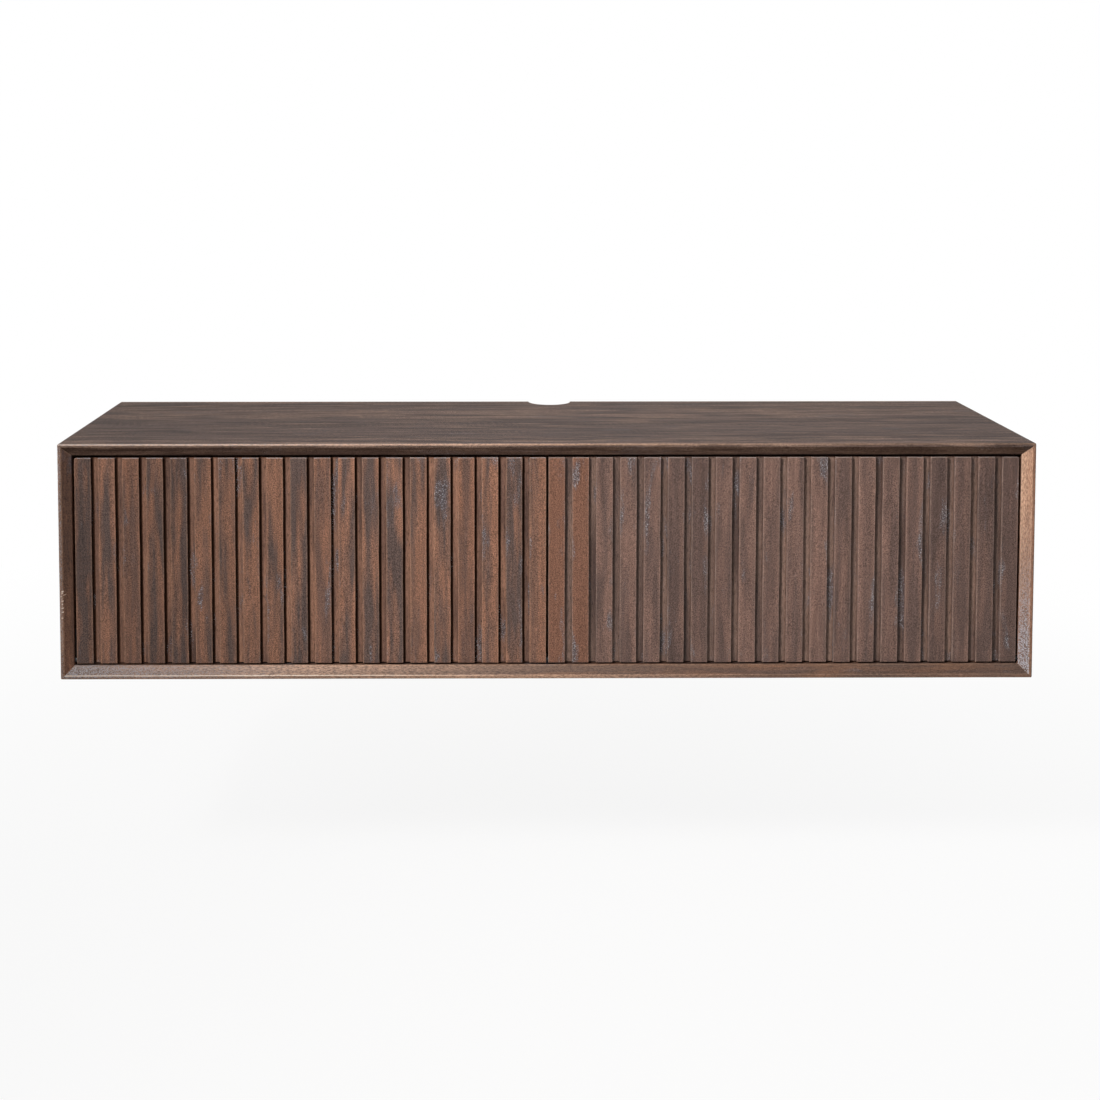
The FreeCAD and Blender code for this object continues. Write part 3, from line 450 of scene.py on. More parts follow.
        # Painted highlight in specks 2 mm across, drawn as milky lacquer, on the slats' top ends
        # and on lit carcase arrises and bevels.
        highlight_share = self.figure(tree, place, Figure(2.2, 1.8, detail=1.0, shift_mm=389.0))
        highlight_share = add("MapRange", {0: highlight_share, 1: 0.4, 2: 0.6, 3: -0.4, 4: 2.4})
        highlight_share = add("Math", {0: highlight_share, 1: painted_highlight}, operation="MULTIPLY", use_clamp=True)
        for tint, share in (
            (self.pore, pores),
            (self.painted_shade, foot),
            (self.frost, speck),
            (self.rubbed, rub),
            (self.bare, worst),
            (self.frost, highlight_share),
        ):
            layers = {"Factor": share, "A": colour, "B": linear(tint)}
            colour = add("Mix", layers, data_type="RGBA")

        low, high = self.roughness - 0.08, self.roughness + 0.08
        gloss = add("MapRange", {0: fibre, 1: FAINT, 2: STRONG, 3: low, 4: high})
        layers = {"Factor": wear, "A": gloss, "B": self.arris_roughness}
        gloss = add("Mix", layers, data_type="FLOAT")
        relief = add("Math", {0: ripple, 1: 1.4, 2: fibre}, operation="MULTIPLY_ADD")
        relief = add("Math", {0: pores, 1: -0.7, 2: relief}, operation="MULTIPLY_ADD")
        height = {"Height": relief, "Strength": 0.8, "Distance": self.relief_mm * MM}
        # Where shade is painted, the lacquer's shine is turned down too, so that the painted shade
        # stays dark.
        dull = 0.1 * self.specular
        sheen = add("MapRange", {0: margin, 1: 1.0, 2: 1.3, 3: self.specular, 4: dull})
        feed(
            tree,
            shader,
            {
                "Base Color": colour,
                "Roughness": gloss,
                "Normal": add("Bump", height),
                "Specular IOR Level": sheen,
                "IOR": self.ior,
            },
        )


@dataclass(frozen=True)
class RawTimber(TimberFinish):
    """Timber planed and left unfinished: pale early wood, darker late wood and a dull face."""

    early: str = "#d8bb8c"
    late: str = "#b98d58"
    ring_mm: float = 5.0

    def dress(self, tree: NodeTree, shader: Node) -> None:
        """Add growth rings and fibres to the shader.

        Args:
            tree: The material's node tree.
            shader: Its Principled shader.
        """
        add = partial(add_node, tree)
        place, chance = self.fibres(tree)
        rings = self.figure(tree, place, Figure(420.0, self.ring_mm))
        rings = add("ValToRGB", {0: rings}, ((0.4, 0), (0.62, 1)))
        layers = {"Factor": rings, "A": linear(self.early), "B": linear(self.late)}
        colour = add("Mix", layers, data_type="RGBA")
        # Fibres 0.2 mm wide, drawn 0.8 mm wide so that they show.
        fibre = self.figure(tree, place, Figure(30.0, 0.8, shift_mm=37.0))
        shade = add("MapRange", {0: fibre, 1: 0.3, 2: 0.7, 3: 0.86, 4: 1.06})
        tone = add("MapRange", {0: chance, 3: 0.92, 4: 1.04})
        shade = add("Math", {0: shade, 1: tone}, operation="MULTIPLY")
        colour = add("VectorMath", {0: colour, "Scale": shade}, operation="SCALE")
        gloss = add("MapRange", {0: fibre, 3: 0.62, 4: 0.76})
        bump = add("Bump", {"Height": fibre, "Strength": 0.5, "Distance": 0.15 * MM})
        feed(tree, shader, {"Base Color": colour, "Roughness": gloss, "Normal": bump})


@dataclass(frozen=True)
class ZincPlate(Finish):
    """Pressed steel, zinc plated and passivated: a soft grey shine with a faint blue bloom."""

    base: str = "#b4b6ba"
    bloom: str = "#9aa3b4"

    def dress(self, tree: NodeTree, shader: Node) -> None:
        """Add the bloom and the fine marks of the plating barrel to the shader.

        Args:
            tree: The material's node tree.
            shader: Its Principled shader.
        """
        add = partial(add_node, tree)
        place = self.millimetres(tree)
        # The bloom lies in clouds 9 mm across.
        cloud = add("TexNoise", {"Vector": place, "Scale": 1 / 9.0, "Detail": 3.0})
        cloud = add("ValToRGB", {0: cloud}, ((0.42, 0), (0.66, 0.8)))
        layers = {"Factor": cloud, "A": linear(self.base), "B": linear(self.bloom)}
        colour = add("Mix", layers, data_type="RGBA")
        # Barrel marks 0.1 mm wide, drawn 0.5 mm wide so that they show.
        marks = add("TexNoise", {"Vector": place, "Scale": 1 / 0.5, "Detail": 2.0})
        gloss = add("MapRange", {0: marks, 3: 0.24, 4: 0.46})
        bump = add("Bump", {"Height": marks, "Strength": 0.3, "Distance": 0.02 * MM})
        links = {"Base Color": colour, "Roughness": gloss, "Normal": bump, "Metallic": 1.0}
        feed(tree, shader, links)


@dataclass(frozen=True)
class Moulding(Finish):
    """Plastic or rubber from a spark-eroded mould: an even colour under a fine dull grain."""

    base: str = "#3a3a3c"
    shade: str = "#323234"
    rough: tuple[float, float] = (0.42, 0.6)
    ior: float = 1.5

    def dress(self, tree: NodeTree, shader: Node) -> None:
        """Add flow marks and the eroded grain to the shader.

        Args:
            tree: The material's node tree.
            shader: Its Principled shader.
        """
        add = partial(add_node, tree)
        place = self.millimetres(tree)
        # The moulding's flow shows in clouds 12 mm across.
        flow = add("TexNoise", {"Vector": place, "Scale": 1 / 12.0, "Detail": 2.0})
        layers = {"Factor": flow, "A": linear(self.base), "B": linear(self.shade)}
        colour = add("Mix", layers, data_type="RGBA")
        # Eroded pits 0.1 mm wide, drawn 0.5 mm wide so that they show.
        pits = add("TexNoise", {"Vector": place, "Scale": 1 / 0.5, "Detail": 1.0})
        low, high = self.rough
        gloss = add("MapRange", {0: pits, 3: low, 4: high})
        bump = add("Bump", {"Height": pits, "Strength": 0.4, "Distance": 0.04 * MM})
        links = {"Base Color": colour, "Roughness": gloss, "Normal": bump, "IOR": self.ior}
        feed(tree, shader, links)


@dataclass(frozen=True)
class Paper(Finish):
    """Matt white paper that keeps shadows, and fades to plain white away from its middle."""

    middle: Place
    dull: str = "#f6f5f3"
    bright: str = "#fbfaf9"
    near: float = 0.5
    far: float = 2.6
    near_white: float = 0.88  # how much of the plain white shows close to the middle

    def surface(self, tree: NodeTree) -> Node:
        """Make the paper's shader.

        Args:
            tree: The material's node tree.

        Returns:
            The shader.
        """
        add = partial(add_node, tree)
        place = add("TexCoord").outputs["Object"]
        # Paper fibres 1 mm long, drawn 17 mm long so that they show.
        fibre = add("TexNoise", {"Vector": place, "Scale": 60.0, "Detail": 3.0})
        layers = {"Factor": fibre, "A": linear(self.dull), "B": linear(self.bright)}
        paper = add("BsdfDiffuse", {"Color": add("Mix", layers, data_type="RGBA")})
        glow = add("Emission", {"Color": (1, 1, 1, 1), "Strength": 1.0})
        away = add("VectorMath", {0: place, 1: self.middle}, operation="DISTANCE")
        away = away.outputs["Value"]
        white = add("MapRange", {0: away, 1: self.near, 2: self.far, 3: self.near_white, 4: 1.0})
        share = add("Math", {0: seen_rays(tree), 1: white}, operation="MULTIPLY")
        return add("MixShader", {0: share, 1: paper, 2: glow})


# Top: glued up from boards 88 mm wide and rubbed dull, so the eye sees a matt grey brown with
# long fibres.
MANGO_TOP = StainedMango(
    "mango_top_stained_walnut",
    Grain.LENGTHWISE,
    board_mm=88.0,
    ground="#594842",
    ember="#836a5c",
    deep="#372924",
    ember_share=0.75,
    slate_share=0.4,
    frost_share=0.2,
    heart_edges=(0.47, 0.58),
    streak_edges=(0.47, 0.60),
    fibre_mm=60.0,
    pore_mm=30.0,
    board_tone=0.08,
    reaches=(0.48, 0.28, 0.6),
    roughness=0.74,
    specular=0.2,
)
# Bottom and sides: single even boards, so the eye sees a satin brown.
MANGO_BASE = StainedMango(
    "mango_base_stained_walnut",
    Grain.LENGTHWISE,
    ground="#514039",
    ember="#7d5842",
    board_tone=0.08,
    frost_share=0.2,
    reaches=(0.2, 0.12, 0.42),
)
MANGO_SIDE = StainedMango(
    "mango_side_stained_walnut",
    Grain.UPRIGHT_SIDE,
    ground="#6a4b3b",
    board_tone=0.1,
    frost_share=0.2,
    reaches=(0.2, 0.12, 0.42),
)
# Slats: sawn from many planks and left dimpled, so the eye sees stripes of changing brown. The
# right flap's come from a duller and more even tree than the left flap's.
MANGO_SLATS = {
    Side.LEFT: StainedMango(
        "mango_left_slats_stained_walnut",
        Grain.UPRIGHT_FRONT,
        ground="#5c4b45",
        ember="#a07057",
        deep="#3e322f",
        meander_mm=4.0,
        ember_share=0.72,
        deep_share=0.42,
        streak_edges=(0.44, 0.66),
        pore_share=0.4,
        board_tone=0.12,
        reaches=(0.12, 0.1, 0.62),
        relief_mm=0.45,
        roughness=0.43,
    ),
    Side.RIGHT: StainedMango(
        "mango_right_slats_stained_walnut",
        Grain.UPRIGHT_FRONT,
        ground="#614d46",
        ember="#8d6c5e",
        deep="#443632",
        slate="#4e494c",
        rubbed="#bfa596",
        # Whiter frosty specks, which are partly painted glints.
        frost="#bcbabd",
        meander_mm=4.0,
        ember_share=0.6,
        deep_share=0.48,
        pore_share=0.3,
        board_tone=0.08,
        reaches=(0.09, 0.08, 0.56),
        relief_mm=0.45,
        roughness=0.43,
    ),
}
# Slats cut from paler or darker planks than the rest, counted from the cabinet's middle; the left
# slats 11 to 16 are darker as painted shade towards the cabinet's left end.
SLAT_TONES_AND_SHADE = {
    Side.LEFT: {0: -0.16, 2: -0.06, 5: -0.13, 6: 0.18, 7: 0.08, 9: 0.14, 10: 0.1}
    | dict.fromkeys(range(11, 17), -0.2),
    Side.RIGHT: {0: 0.16, 1: 0.03},
}
# The share of amber in slats from planks that took the stain thinly.
WARM_SLATS = {Side.LEFT: {3: 0.3, 9: 0.3, 17: 0.3}, Side.RIGHT: {0: 0.8, 1: 0.8}}
# Grooves: the board's face between the slats, lighter than the slats in the middle, with painted
# shade along the slats' feet.
MANGO_GROOVES = {
    Side.LEFT: StainedMango(
        "mango_left_grooves_stained_walnut",
        Grain.UPRIGHT_FRONT,
        ground="#735548",
        ember="#9a705a",
        board_tone=0.08,
    ),
    Side.RIGHT: StainedMango(
        "mango_right_grooves_stained_walnut",
        Grain.UPRIGHT_FRONT,
        ground="#66524a",
        ember="#83695c",
        board_tone=0.06,
        slate_from=0.6,
    ),
}
# Inner face of a flap: three boards glued up and planed, so the eye sees an open long grain.
MANGO_FLAP_BOARD = StainedMango(
    "mango_flap_board_stained_walnut",
    Grain.LENGTHWISE,
    board_mm=107.0,
    board_tone=0.12,
    frost_share=0.0,
    reaches=(0.24, 0.22, 0.3),
)
MANGO_RAIL = StainedMango("mango_rail_stained_walnut", Grain.LENGTHWISE)
# Back panels: sliced veneer on plywood, so the eye sees even strips and a dull face.
VENEER_BACK = StainedMango(
    "mango_veneer_back_stained_walnut",
    Grain.LENGTHWISE,
    board_mm=150.0,
    ground="#57453c",
    ember="#73594a",
    ember_share=0.6,
    slate_share=0.2,
    frost_share=0.0,
    board_tone=0.06,
    roughness=0.62,
)
# Hidden timber: planed pine with broad rings, turned beech, and sawn plywood with close plies.
PINE = RawTimber("pine_planed", Grain.LENGTHWISE)
BEECH = RawTimber("beech_dowel_turned", Grain.UPRIGHT_SIDE, early="#d6ae85", late="#bd8f66")
BIRCH_PLYWOOD = RawTimber(
    "birch_plywood_sawn", Grain.LENGTHWISE, early="#dcc39a", late="#c6a473", ring_mm=1.5
)
# Metal: bright zinc, and black zinc where a glint would show in a gap.
ZINC = ZincPlate("steel_zinc_plated")
BLACK_ZINC = ZincPlate("steel_black_zinc_plated", base="#2b2a2b", bloom="#33323a")
# Plastic and rubber: nylon takes a low sheen, ABS is duller and rubber the dullest.
NYLON = Moulding("nylon_moulded", base="#d9d6cc", shade="#cfcabd", rough=(0.3, 0.45), ior=1.53)
BLACK_NYLON = Moulding(
    "nylon_black_moulded", base="#202021", shade="#1a1a1b", rough=(0.3, 0.45), ior=1.53
)
GREY_ABS = Moulding("abs_grey_moulded", base="#5c5d60", shade="#525356")
BLACK_ABS = Moulding("abs_black_moulded", base="#1c1c1d", shade="#161617")
BUMPER = Moulding("rubber_moulded", base="#55534f", shade="#4a4846", rough=(0.65, 0.8))


# ---- Meshes -------------------------------------------------------------------------------


@dataclass
class MeshDraft:
    """Points and faces of a piece while it is drawn, with what its finish is told."""

    points: list[Vector] = field(default_factory=list)
    marks: list[tuple[float, ...]] = field(default_factory=list)
    faces: list[tuple[int, ...]] = field(default_factory=list)

    def loft(
        self,
        rings: Sequence[Sequence[Spot]],
        board: float = 0.0,
        tone: float = 0.0,
        warm: float = 0.0,
    ) -> None:
        """Skin closed rings of equal length, and close both ends.

        Args:
            rings: Rings in order, each a loop of spots.
            board: Number from 0 to 1 that marks which board the timber comes from.
            tone: How much lighter or darker than its neighbours that board is, painted shade
                included.
            warm: How thinly that board took the stain, from 0 to 1.
        """
        first = len(self.points)
        count = len(rings[0])
        for ring in rings:
            for point, *marks in ring:
                self.points.append(point)
                self.marks.append((*marks, board, tone, warm))
        for row in range(len(rings) - 1):
            for column in range(count):
                low = first + row * count
                after = (column + 1) % count
                corners = (low + column, low + after, low + count + after, low + count + column)
                self.faces.append(corners)
        last = first + (len(rings) - 1) * count
        self.faces.append(tuple(range(first, first + count)))
        self.faces.append(tuple(range(last, last + count)))

    def build(self, name: str, finish: Finish, sharp: float = 40.0) -> Object:
        """Turn the draft into an object of the scene.

        Args:
            name: The piece's name.
            finish: Finish of its whole surface.
            sharp: Degrees above which an edge stays crisp.

        Returns:
            The new object.
        """
        mesh = bpy.data.meshes.new(name)
        mesh.from_pydata(self.points, [], self.faces)
        for label, values in zip(MARKS, zip(*self.marks)):
            mesh.attributes.new(label, "FLOAT", "POINT").data.foreach_set("value", values)
        work = bmesh.new()
        work.from_mesh(mesh)
        bmesh.ops.recalc_face_normals(work, faces=work.faces)
        work.to_mesh(mesh)
        work.free()
        return show(mesh, name, finish, sharp)


def show(mesh: bpy.types.Mesh, name: str, finish: Finish, sharp: float) -> Object:
    """Put a mesh in the scene with smooth shading between its crisp edges.

    Args:
        mesh: The finished mesh.
        name: The piece's name.
        finish: Finish of its whole surface.
        sharp: Degrees above which an edge stays crisp.

    Returns:
        The new object.
    """
    mesh.shade_smooth()
    mesh.set_sharp_from_angle(angle=math.radians(sharp))
    mesh.materials.clear()
    mesh.materials.append(finish.material())
    piece = bpy.data.objects.new(name, mesh)
    bpy.context.scene.collection.objects.link(piece)
    piece.modifiers.new("even_faces", "WEIGHTED_NORMAL").keep_sharp = True
    return piece


def joined(node: str) -> bmesh.types.BMesh:
    """Copy a CAD node's mesh with its coincident points joined.

    Args:
        node: Name of the CAD node.

    Returns:
        The copy, which the caller frees.
    """
    work = bmesh.new()
    work.from_mesh(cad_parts[node].data)
    bmesh.ops.remove_doubles(work, verts=work.verts, dist=MM * 0.001)
    return work


def eased(node: str, name: str, finish: Finish, width: float) -> Object:
    """Copy a CAD node with its sharp arrises rounded.

    Args:
        node: Name of the CAD node.
        name: The piece's name.
        finish: Finish of its whole surface.
        width: How far the rounding reaches from each arris.

    Returns:
        The new object.
    """
    flat, crisp = math.radians(0.5), math.radians(40)
    work = joined(node)
    bmesh.ops.dissolve_limit(work, angle_limit=flat, verts=work.verts, edges=work.edges)
    arrises = [
        edge
        for edge in work.edges
        if len(edge.link_faces) == 2 and edge.calc_face_angle(0.0) > crisp
    ]
    bmesh.ops.bevel(
        work,
        geom=arrises,
        offset=width,
        segments=2,
        profile=0.5,
        affect="EDGES",
        clamp_overlap=True,
    )
    mesh = bpy.data.meshes.new(name)
    work.to_mesh(mesh)
    work.free()
    return show(mesh, name, finish, sharp=50.0)


def parts_of(node: str) -> list[list[Vector]]:
    """Points of each separate solid of a CAD node.

    Args:
        node: Name of the CAD node.

    Returns:
        One list of points for each solid, from left to right and then from the front.
    """
    work = joined(node)
    left = set(work.verts)
    found = []
    while left:
        waiting = [left.pop()]
        members = []
        while waiting:
            vertex = waiting.pop()
            members.append(vertex.co.copy())
            for edge in vertex.link_edges:
                other = edge.other_vert(vertex)
                if other in left:
                    left.remove(other)
                    waiting.append(other)
        found.append(members)
    work.free()
    return sorted(found, key=lambda members: min(tuple(point) for point in members))


def limits(points: Iterable[Vector]) -> tuple[Vector, Vector]:
    """Lowest and highest corner round some points."""
    columns = list(zip(*points))
    return Vector(map(min, columns)), Vector(map(max, columns))


def turned_rings(
    profile: Sequence[tuple[float, float]], start: Vector, axis: Vector, sides: int = 40
) -> list[list[Spot]]:
    """Rings of a turned shape.

    Args:
        profile: Pairs of distance along the axis and radius.
        start: Point where the distance is nought.
        axis: Unit vector along the axis.
        sides: Points in each ring.

    Returns:
        One ring for each pair.
    """
    right = axis.orthogonal().normalized()
    up = axis.cross(right)
    turns = [math.tau * number / sides for number in range(sides)]
    return [
        [
            Spot(start + axis * along + (right * math.cos(a) + up * math.sin(a)) * radius)
            for a in turns
        ]
        for along, radius in profile
    ]


def wander(place: float, seed: float, reach: float, length: float) -> float:
    """Small smooth deviation of a hand-worked edge.

    Args:
        place: Distance along the edge.
        seed: Number that tells one edge from another.
        reach: Largest deviation.
        length: Distance over which it changes.

    Returns:
        The deviation at that place.
    """
    return reach * noise.noise(Vector((place / length, seed, 0.37)))


class SubAssembly:
    """A group of pieces that are drawn, finished and reported together."""

    def place(self, piece: Object, body: str, slot: str, *nodes: str) -> None:
        """Let a piece ride on its body and stand for its CAD nodes.

        Args:
            piece: The new piece.
            body: CAD body that it moves with.
            slot: Not used.
            nodes: CAD nodes that it stands for.
        """
        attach(piece, body)
        if nodes:
            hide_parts(*nodes)
        LOG.info("%s: %s rides on %s", type(self).__name__, piece.name, body)

    def ease(
        self, node: str, name: str, finish: Finish, width: float, body: str, slot: str
    ) -> None:
        """Put a copy of a CAD node with rounded arrises in its place.

        Args:
            node: Name of the CAD node.
            name: The piece's name.
            finish: Finish of its whole surface.
            width: How far the rounding reaches from each arris.
            body: CAD body that it moves with.
            slot: Not used; passed on to place.
        """
        self.place(eased(node, name, finish, width), body, slot, node)

    def finish_node(self, node: str, finish: Finish) -> None:
        """Give a CAD node that stays in view its finish.

        Args:
            node: Name of the CAD node.
            finish: Finish of its whole surface.
        """
        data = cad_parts[node].data
        data.materials.clear()
        data.materials.append(finish.material())
        LOG.info("%s: %s keeps its CAD shape", type(self).__name__, node)


# ---- Carcase ------------------------------------------------------------------------------


class Zone(Enum):
    """Where on the carcase's section a point lies."""

    PLAIN = "plain"
    ARRIS = "arris"
    LIP = "lip"
    EDGE = "edge"
    BEVEL = "bevel"
    MOUTH = "mouth"


class ProfilePoint(NamedTuple):
    """A point of the carcase's section."""

    inset: float  # distance in from the panel's outer face
    y: float
    wear: float
    round: float  # radius of the corner that the surface makes at a mitre
    zone: Zone = Zone.PLAIN


@dataclass(frozen=True)
class WearAndLight:
    """Wear, painted highlight and painted shade along a panel's front, in even steps from its left
    or lower end to the other.
    """

    arris: tuple[float, ...]
    lip: tuple[float, ...]
    edge: tuple[float, ...] = (0.3, 0.3)
    bevel: tuple[float, ...] = (0.0, 0.0)
    mouth: tuple[float, ...] = (0.0, 0.0)
    painted_highlight: tuple[float, ...] = (0.0, 0.0)
    hazy: tuple[Zone, ...] = ()  # where on the section the painted highlight lies
    painted_shade: float = 0.0  # how much painted shade lies on the bevel, from 0 to 1

    def between(self, values: Sequence[float], part: float) -> float:
        """Value at a place between even steps.

        Args:
            values: Values at the steps.
            part: Place along the panel, from 0 to 1.

        Returns:
            The value there.
        """
        place = min(max(part, 0.0), 1.0) * (len(values) - 1)
        low = min(int(place), len(values) - 2)
        return values[low] + (values[low + 1] - values[low]) * (place - low)

    def wear(self, zone: Zone, part: float) -> float:
        """Share of the section's wear that shows at a place.

        Args:
            zone: Where on the section the place is.
            part: Place along the panel, from 0 to 1.

        Returns:
            The share, from 0 to 2.
        """
        return 1.0 if zone is Zone.PLAIN else self.between(getattr(self, zone.value), part)


# Wear along each panel's front. On the top's left arris, the bottom's left edge, bevel and mouth,
# and the right panel's bevel and mouth, the raised wear is partly painted highlight where the
# light catches; the haze is painted highlight and the top's bevel gets painted shade.
WEAR_AND_PAINTED_LIGHT = {
    Panel.TOP: WearAndLight(
        arris=(1.3, 1.1, 0.9, 0.3, 0.3),
        lip=(0.3, 0.1, 0.0, 0.1, 0.0),
        edge=(0.1, 0.0),
        bevel=(0.05, 0.1),
        painted_highlight=(0.3, 0.15, 0.0, 0.0, 0.0),
        hazy=(Zone.ARRIS,),
        # Painted shade on the bevel, which faces down into shade.
        painted_shade=0.34,
    ),
    Panel.BOTTOM: WearAndLight(
        arris=(0.4, 0.6, 0.8, 0.2, 0.2),
        lip=(0.3, 0.5, 0.8, 0.1, 0.15),
        edge=(2.0, 2.0, 0.9, 0.3, 0.3),
        bevel=(0.3, 0.85, 0.2, 0.08, 0.1),
        mouth=(0.5, 1.1, 0.5, 0.3, 0.3),
        painted_highlight=(0.34, 0.0, 0.0, 0.0, 0.0),
        hazy=(Zone.LIP, Zone.EDGE, Zone.BEVEL, Zone.MOUTH),
    ),
    Panel.LEFT: WearAndLight(
        arris=(0.4, 0.5), lip=(0.2, 0.3), painted_highlight=(0.15, 0.2), hazy=(Zone.ARRIS, Zone.LIP)
    ),
    Panel.RIGHT: WearAndLight(
        arris=(0.2, 0.2),
        lip=(0.25, 0.3),
        edge=(0.5, 0.8),
        bevel=(0.0, 0.2, 0.5, 0.85, 0.85),
        mouth=(0.05, 0.3, 0.7, 1.1, 1.1),
        painted_highlight=(0.5, 0.28, 0.06, 0.0, 0.0),
        hazy=(Zone.EDGE, Zone.BEVEL, Zone.MOUTH),
    ),
}


@dataclass
class Carcase(SubAssembly):
    """Top, bottom and side panels: one section that runs round the cabinet in four boards."""

    half_width: float = 0.750
    top: float = 0.091
    base: float = -0.275
    front: float = -0.400
    thickness: float = 0.019
    arris: float = 0.002
    lip: float = 0.0055
    bevel_depth: float = 0.010
    # Corners along a mitre: one that looks sharp, an inner one, and the bevel's, which lacquer
    # and filler have rounded.
    fine: float = 0.00005
    inner_round: float = 0.0004
    corner_fill: float = 0.0013
    # Rows of points along the outer face, the lip, the bevel, the mouth and the inner face.
    # Across the bevel they hold the distance from the lip, or short of the inner face, the wear
    # and the zone. At the mouth they hold the distance short of the inner face, the distance
    # behind the bevel, the wear and the corner's radius.
    outer_rows: tuple[float, ...] = (
        -0.012, -0.030, -0.046, -0.10, -0.17, -0.24, -0.31, -0.36, -0.39, -0.3965
    )
    arris_steps: int = 5
    lip_ends: tuple[float, float] = (0.0008, 0.0009)
    lip_round: tuple[float, float] = (0.0002, 0.0001)
    bevel_rows: tuple[tuple[float, float, Zone], ...] = (
        (0.0004, 1.0, Zone.EDGE),
        (0.0014, 0.8, Zone.BEVEL),
        (0.005, 0.8, Zone.BEVEL),
        (0.009, 1.1, Zone.BEVEL),
    )
    bevel_end_rows: tuple[tuple[float, float, Zone], ...] = (
        (0.0016, 1.1, Zone.BEVEL),
        (0.0006, 1.0, Zone.MOUTH),
    )
    mouth_rows: tuple[tuple[float, float, float, float], ...] = (
        (0.00008, 0.0001, 1.0, 0.0008),
        (0.0, 0.0008, 0.9, 0.0005),
        (0.0, 0.0020, 0.7, 0.0004),
    )
    fill_from: float = 0.003  # distance from the lip at which the corner is filled in full
    inner_rows: tuple[float, ...] = (-0.30, -0.24, -0.18, -0.12, -0.0546, -0.046, -0.03, -0.012)
    rear_ease: float = 0.0006
    end_zone: float = 0.024  # length of a panel's end that is drawn round its mitre
    end_steps: int = 8
    station: float = 0.012  # distance between the rings of the straight part
    waver: float = 0.0004  # how far the hand-worked edges stray
    waver_fade: float = 0.03  # distance from a mitre over which they settle
    waver_reach: tuple[float, float] = (0.004, 0.001)  # how far past the front and lip it shows
    waver_lengths: tuple[float, float] = (0.03, 0.05)  # length of a bend in depth and in height
    notch_radius: float = 0.037
    notch_x: float = 0.0175
    notch_gap: float = 0.0012  # from the notch to the next straight ring
    notch_zone: float = 0.045  # how far from the back the notch shifts the section's points
    notch_steps: int = 36
    # Recess in the bottom panel for the foot of the centre bracket.
    foot_half: float = 0.013
    foot_front: float = -0.3877
    foot_back: float = -0.3537
    foot_depth: float = 0.0015
    foot_gap: float = 0.002  # from the recess to the next ring
    foot_wall: float = 0.00003
    mitre_wear: float = 0.7
    painted_mitre_highlight: float = 2.0  # painted highlight in bare timber colour at the lower right mitre
    # Chips in the left panel's lip: distance from the panel's middle, and inset.
    chips: tuple[tuple[float, float], ...] = (
        (-0.0450, 0.0055), (-0.0475, 0.0046), (-0.0510, 0.0069),
        (-0.0530, 0.0028), (-0.0600, 0.0055), (-0.0649, 0.0046),
        (-0.0711, 0.0055), (-0.0773, 0.0055), (-0.0865, 0.0046),
    )
    chip_reach: float = 0.0013
    chip_wear: float = 3.0
    scuff: tuple[float, float] = (-0.140, -0.044)  # ends of the scuff on the same lip
    scuff_wear: float = 0.6

    def section(self) -> list[ProfilePoint]:
        """Draw a panel's closed section, from its outer face at the back round to the inner face.

        Returns:
            The section's points.
        """
        front, inner, ease = self.front, self.thickness, self.rear_ease
        fine, corner = self.fine, self.inner_round
        rows = [(0.0, -ease, 0.5, self.arris)]
        rows += [(0.0, y, 0.0, self.arris) for y in self.outer_rows]
        for step in range(self.arris_steps + 1):
            turn = math.pi / 2 * step / self.arris_steps
            inset = self.arris * (1 - math.cos(turn))
            y = front + self.arris * (1 - math.sin(turn))
            rows.append((inset, y, 1.0, max(self.arris - inset, fine), Zone.ARRIS))
        rows.append((self.arris + self.lip_ends[0], front, 1.0, fine, Zone.LIP))
        rows.append((self.lip - self.lip_ends[1], front, 1.0, fine, Zone.LIP))
        short, behind = self.lip_round
        rows.append((self.lip - short, front + behind, 1.0, 2 * fine, Zone.EDGE))
        width = inner - self.lip
        ends = tuple((width - short, wear, zone) for short, wear, zone in self.bevel_end_rows)
        for inset, wear, zone in self.bevel_rows + ends:
            y = front + inset * (self.bevel_depth / width)
            fill = self.corner_fill * min(1.0, inset / self.fill_from) + fine
            rows.append((self.lip + inset, y, wear, fill, zone))
        mouth = front + self.bevel_depth
        for short, behind, wear, radius in self.mouth_rows:
            rows.append((inner - short, mouth + behind, wear, radius, Zone.MOUTH))
        walls = (self.foot_front, self.foot_back)
        foot = tuple(y + side for y in walls for side in (-self.foot_wall, self.foot_wall))
        rows += [(inner, y, 0.0, corner) for y in foot + self.inner_rows]
        rows.append((inner, -ease, 0.4, corner))
        rows.append((inner - 0.3 * ease, -0.3 * ease, 0.4, corner))
        rows.append((inner - ease, 0.0, 0.3, corner))
        rows.append((inner / 2, 0.0, 0.0, corner))
        rows.append((ease, 0.0, 0.3, self.arris - ease))
        rows.append((0.3 * ease, -0.3 * ease, 0.5, self.arris - 0.3 * ease))
        return [ProfilePoint(*row) for row in rows]

    def half_length(self, panel: Panel) -> float:
        """Half of a panel's outer length."""
        lying = panel in (Panel.TOP, Panel.BOTTOM)
        return self.half_width if lying else (self.top - self.base) / 2

    def stand(self, panel: Panel, run: float, inset: float, y: float) -> Vector:
        """Turn a place on a panel into a point of the frame.

        Args:
            panel: Which panel.
            run: Distance along the panel from its middle.
            inset: Distance in from its outer face.
            y: Distance back, as in the frame.

        Returns:
            The point.
        """
        middle = (self.top + self.base) / 2
        places = {
            Panel.TOP: (run, y, self.top - inset),
            Panel.BOTTOM: (run, y, self.base + inset),
            Panel.LEFT: (-self.half_width + inset, y, middle + run),
            Panel.RIGHT: (self.half_width - inset, y, middle + run),
        }
        return Vector(places[panel])

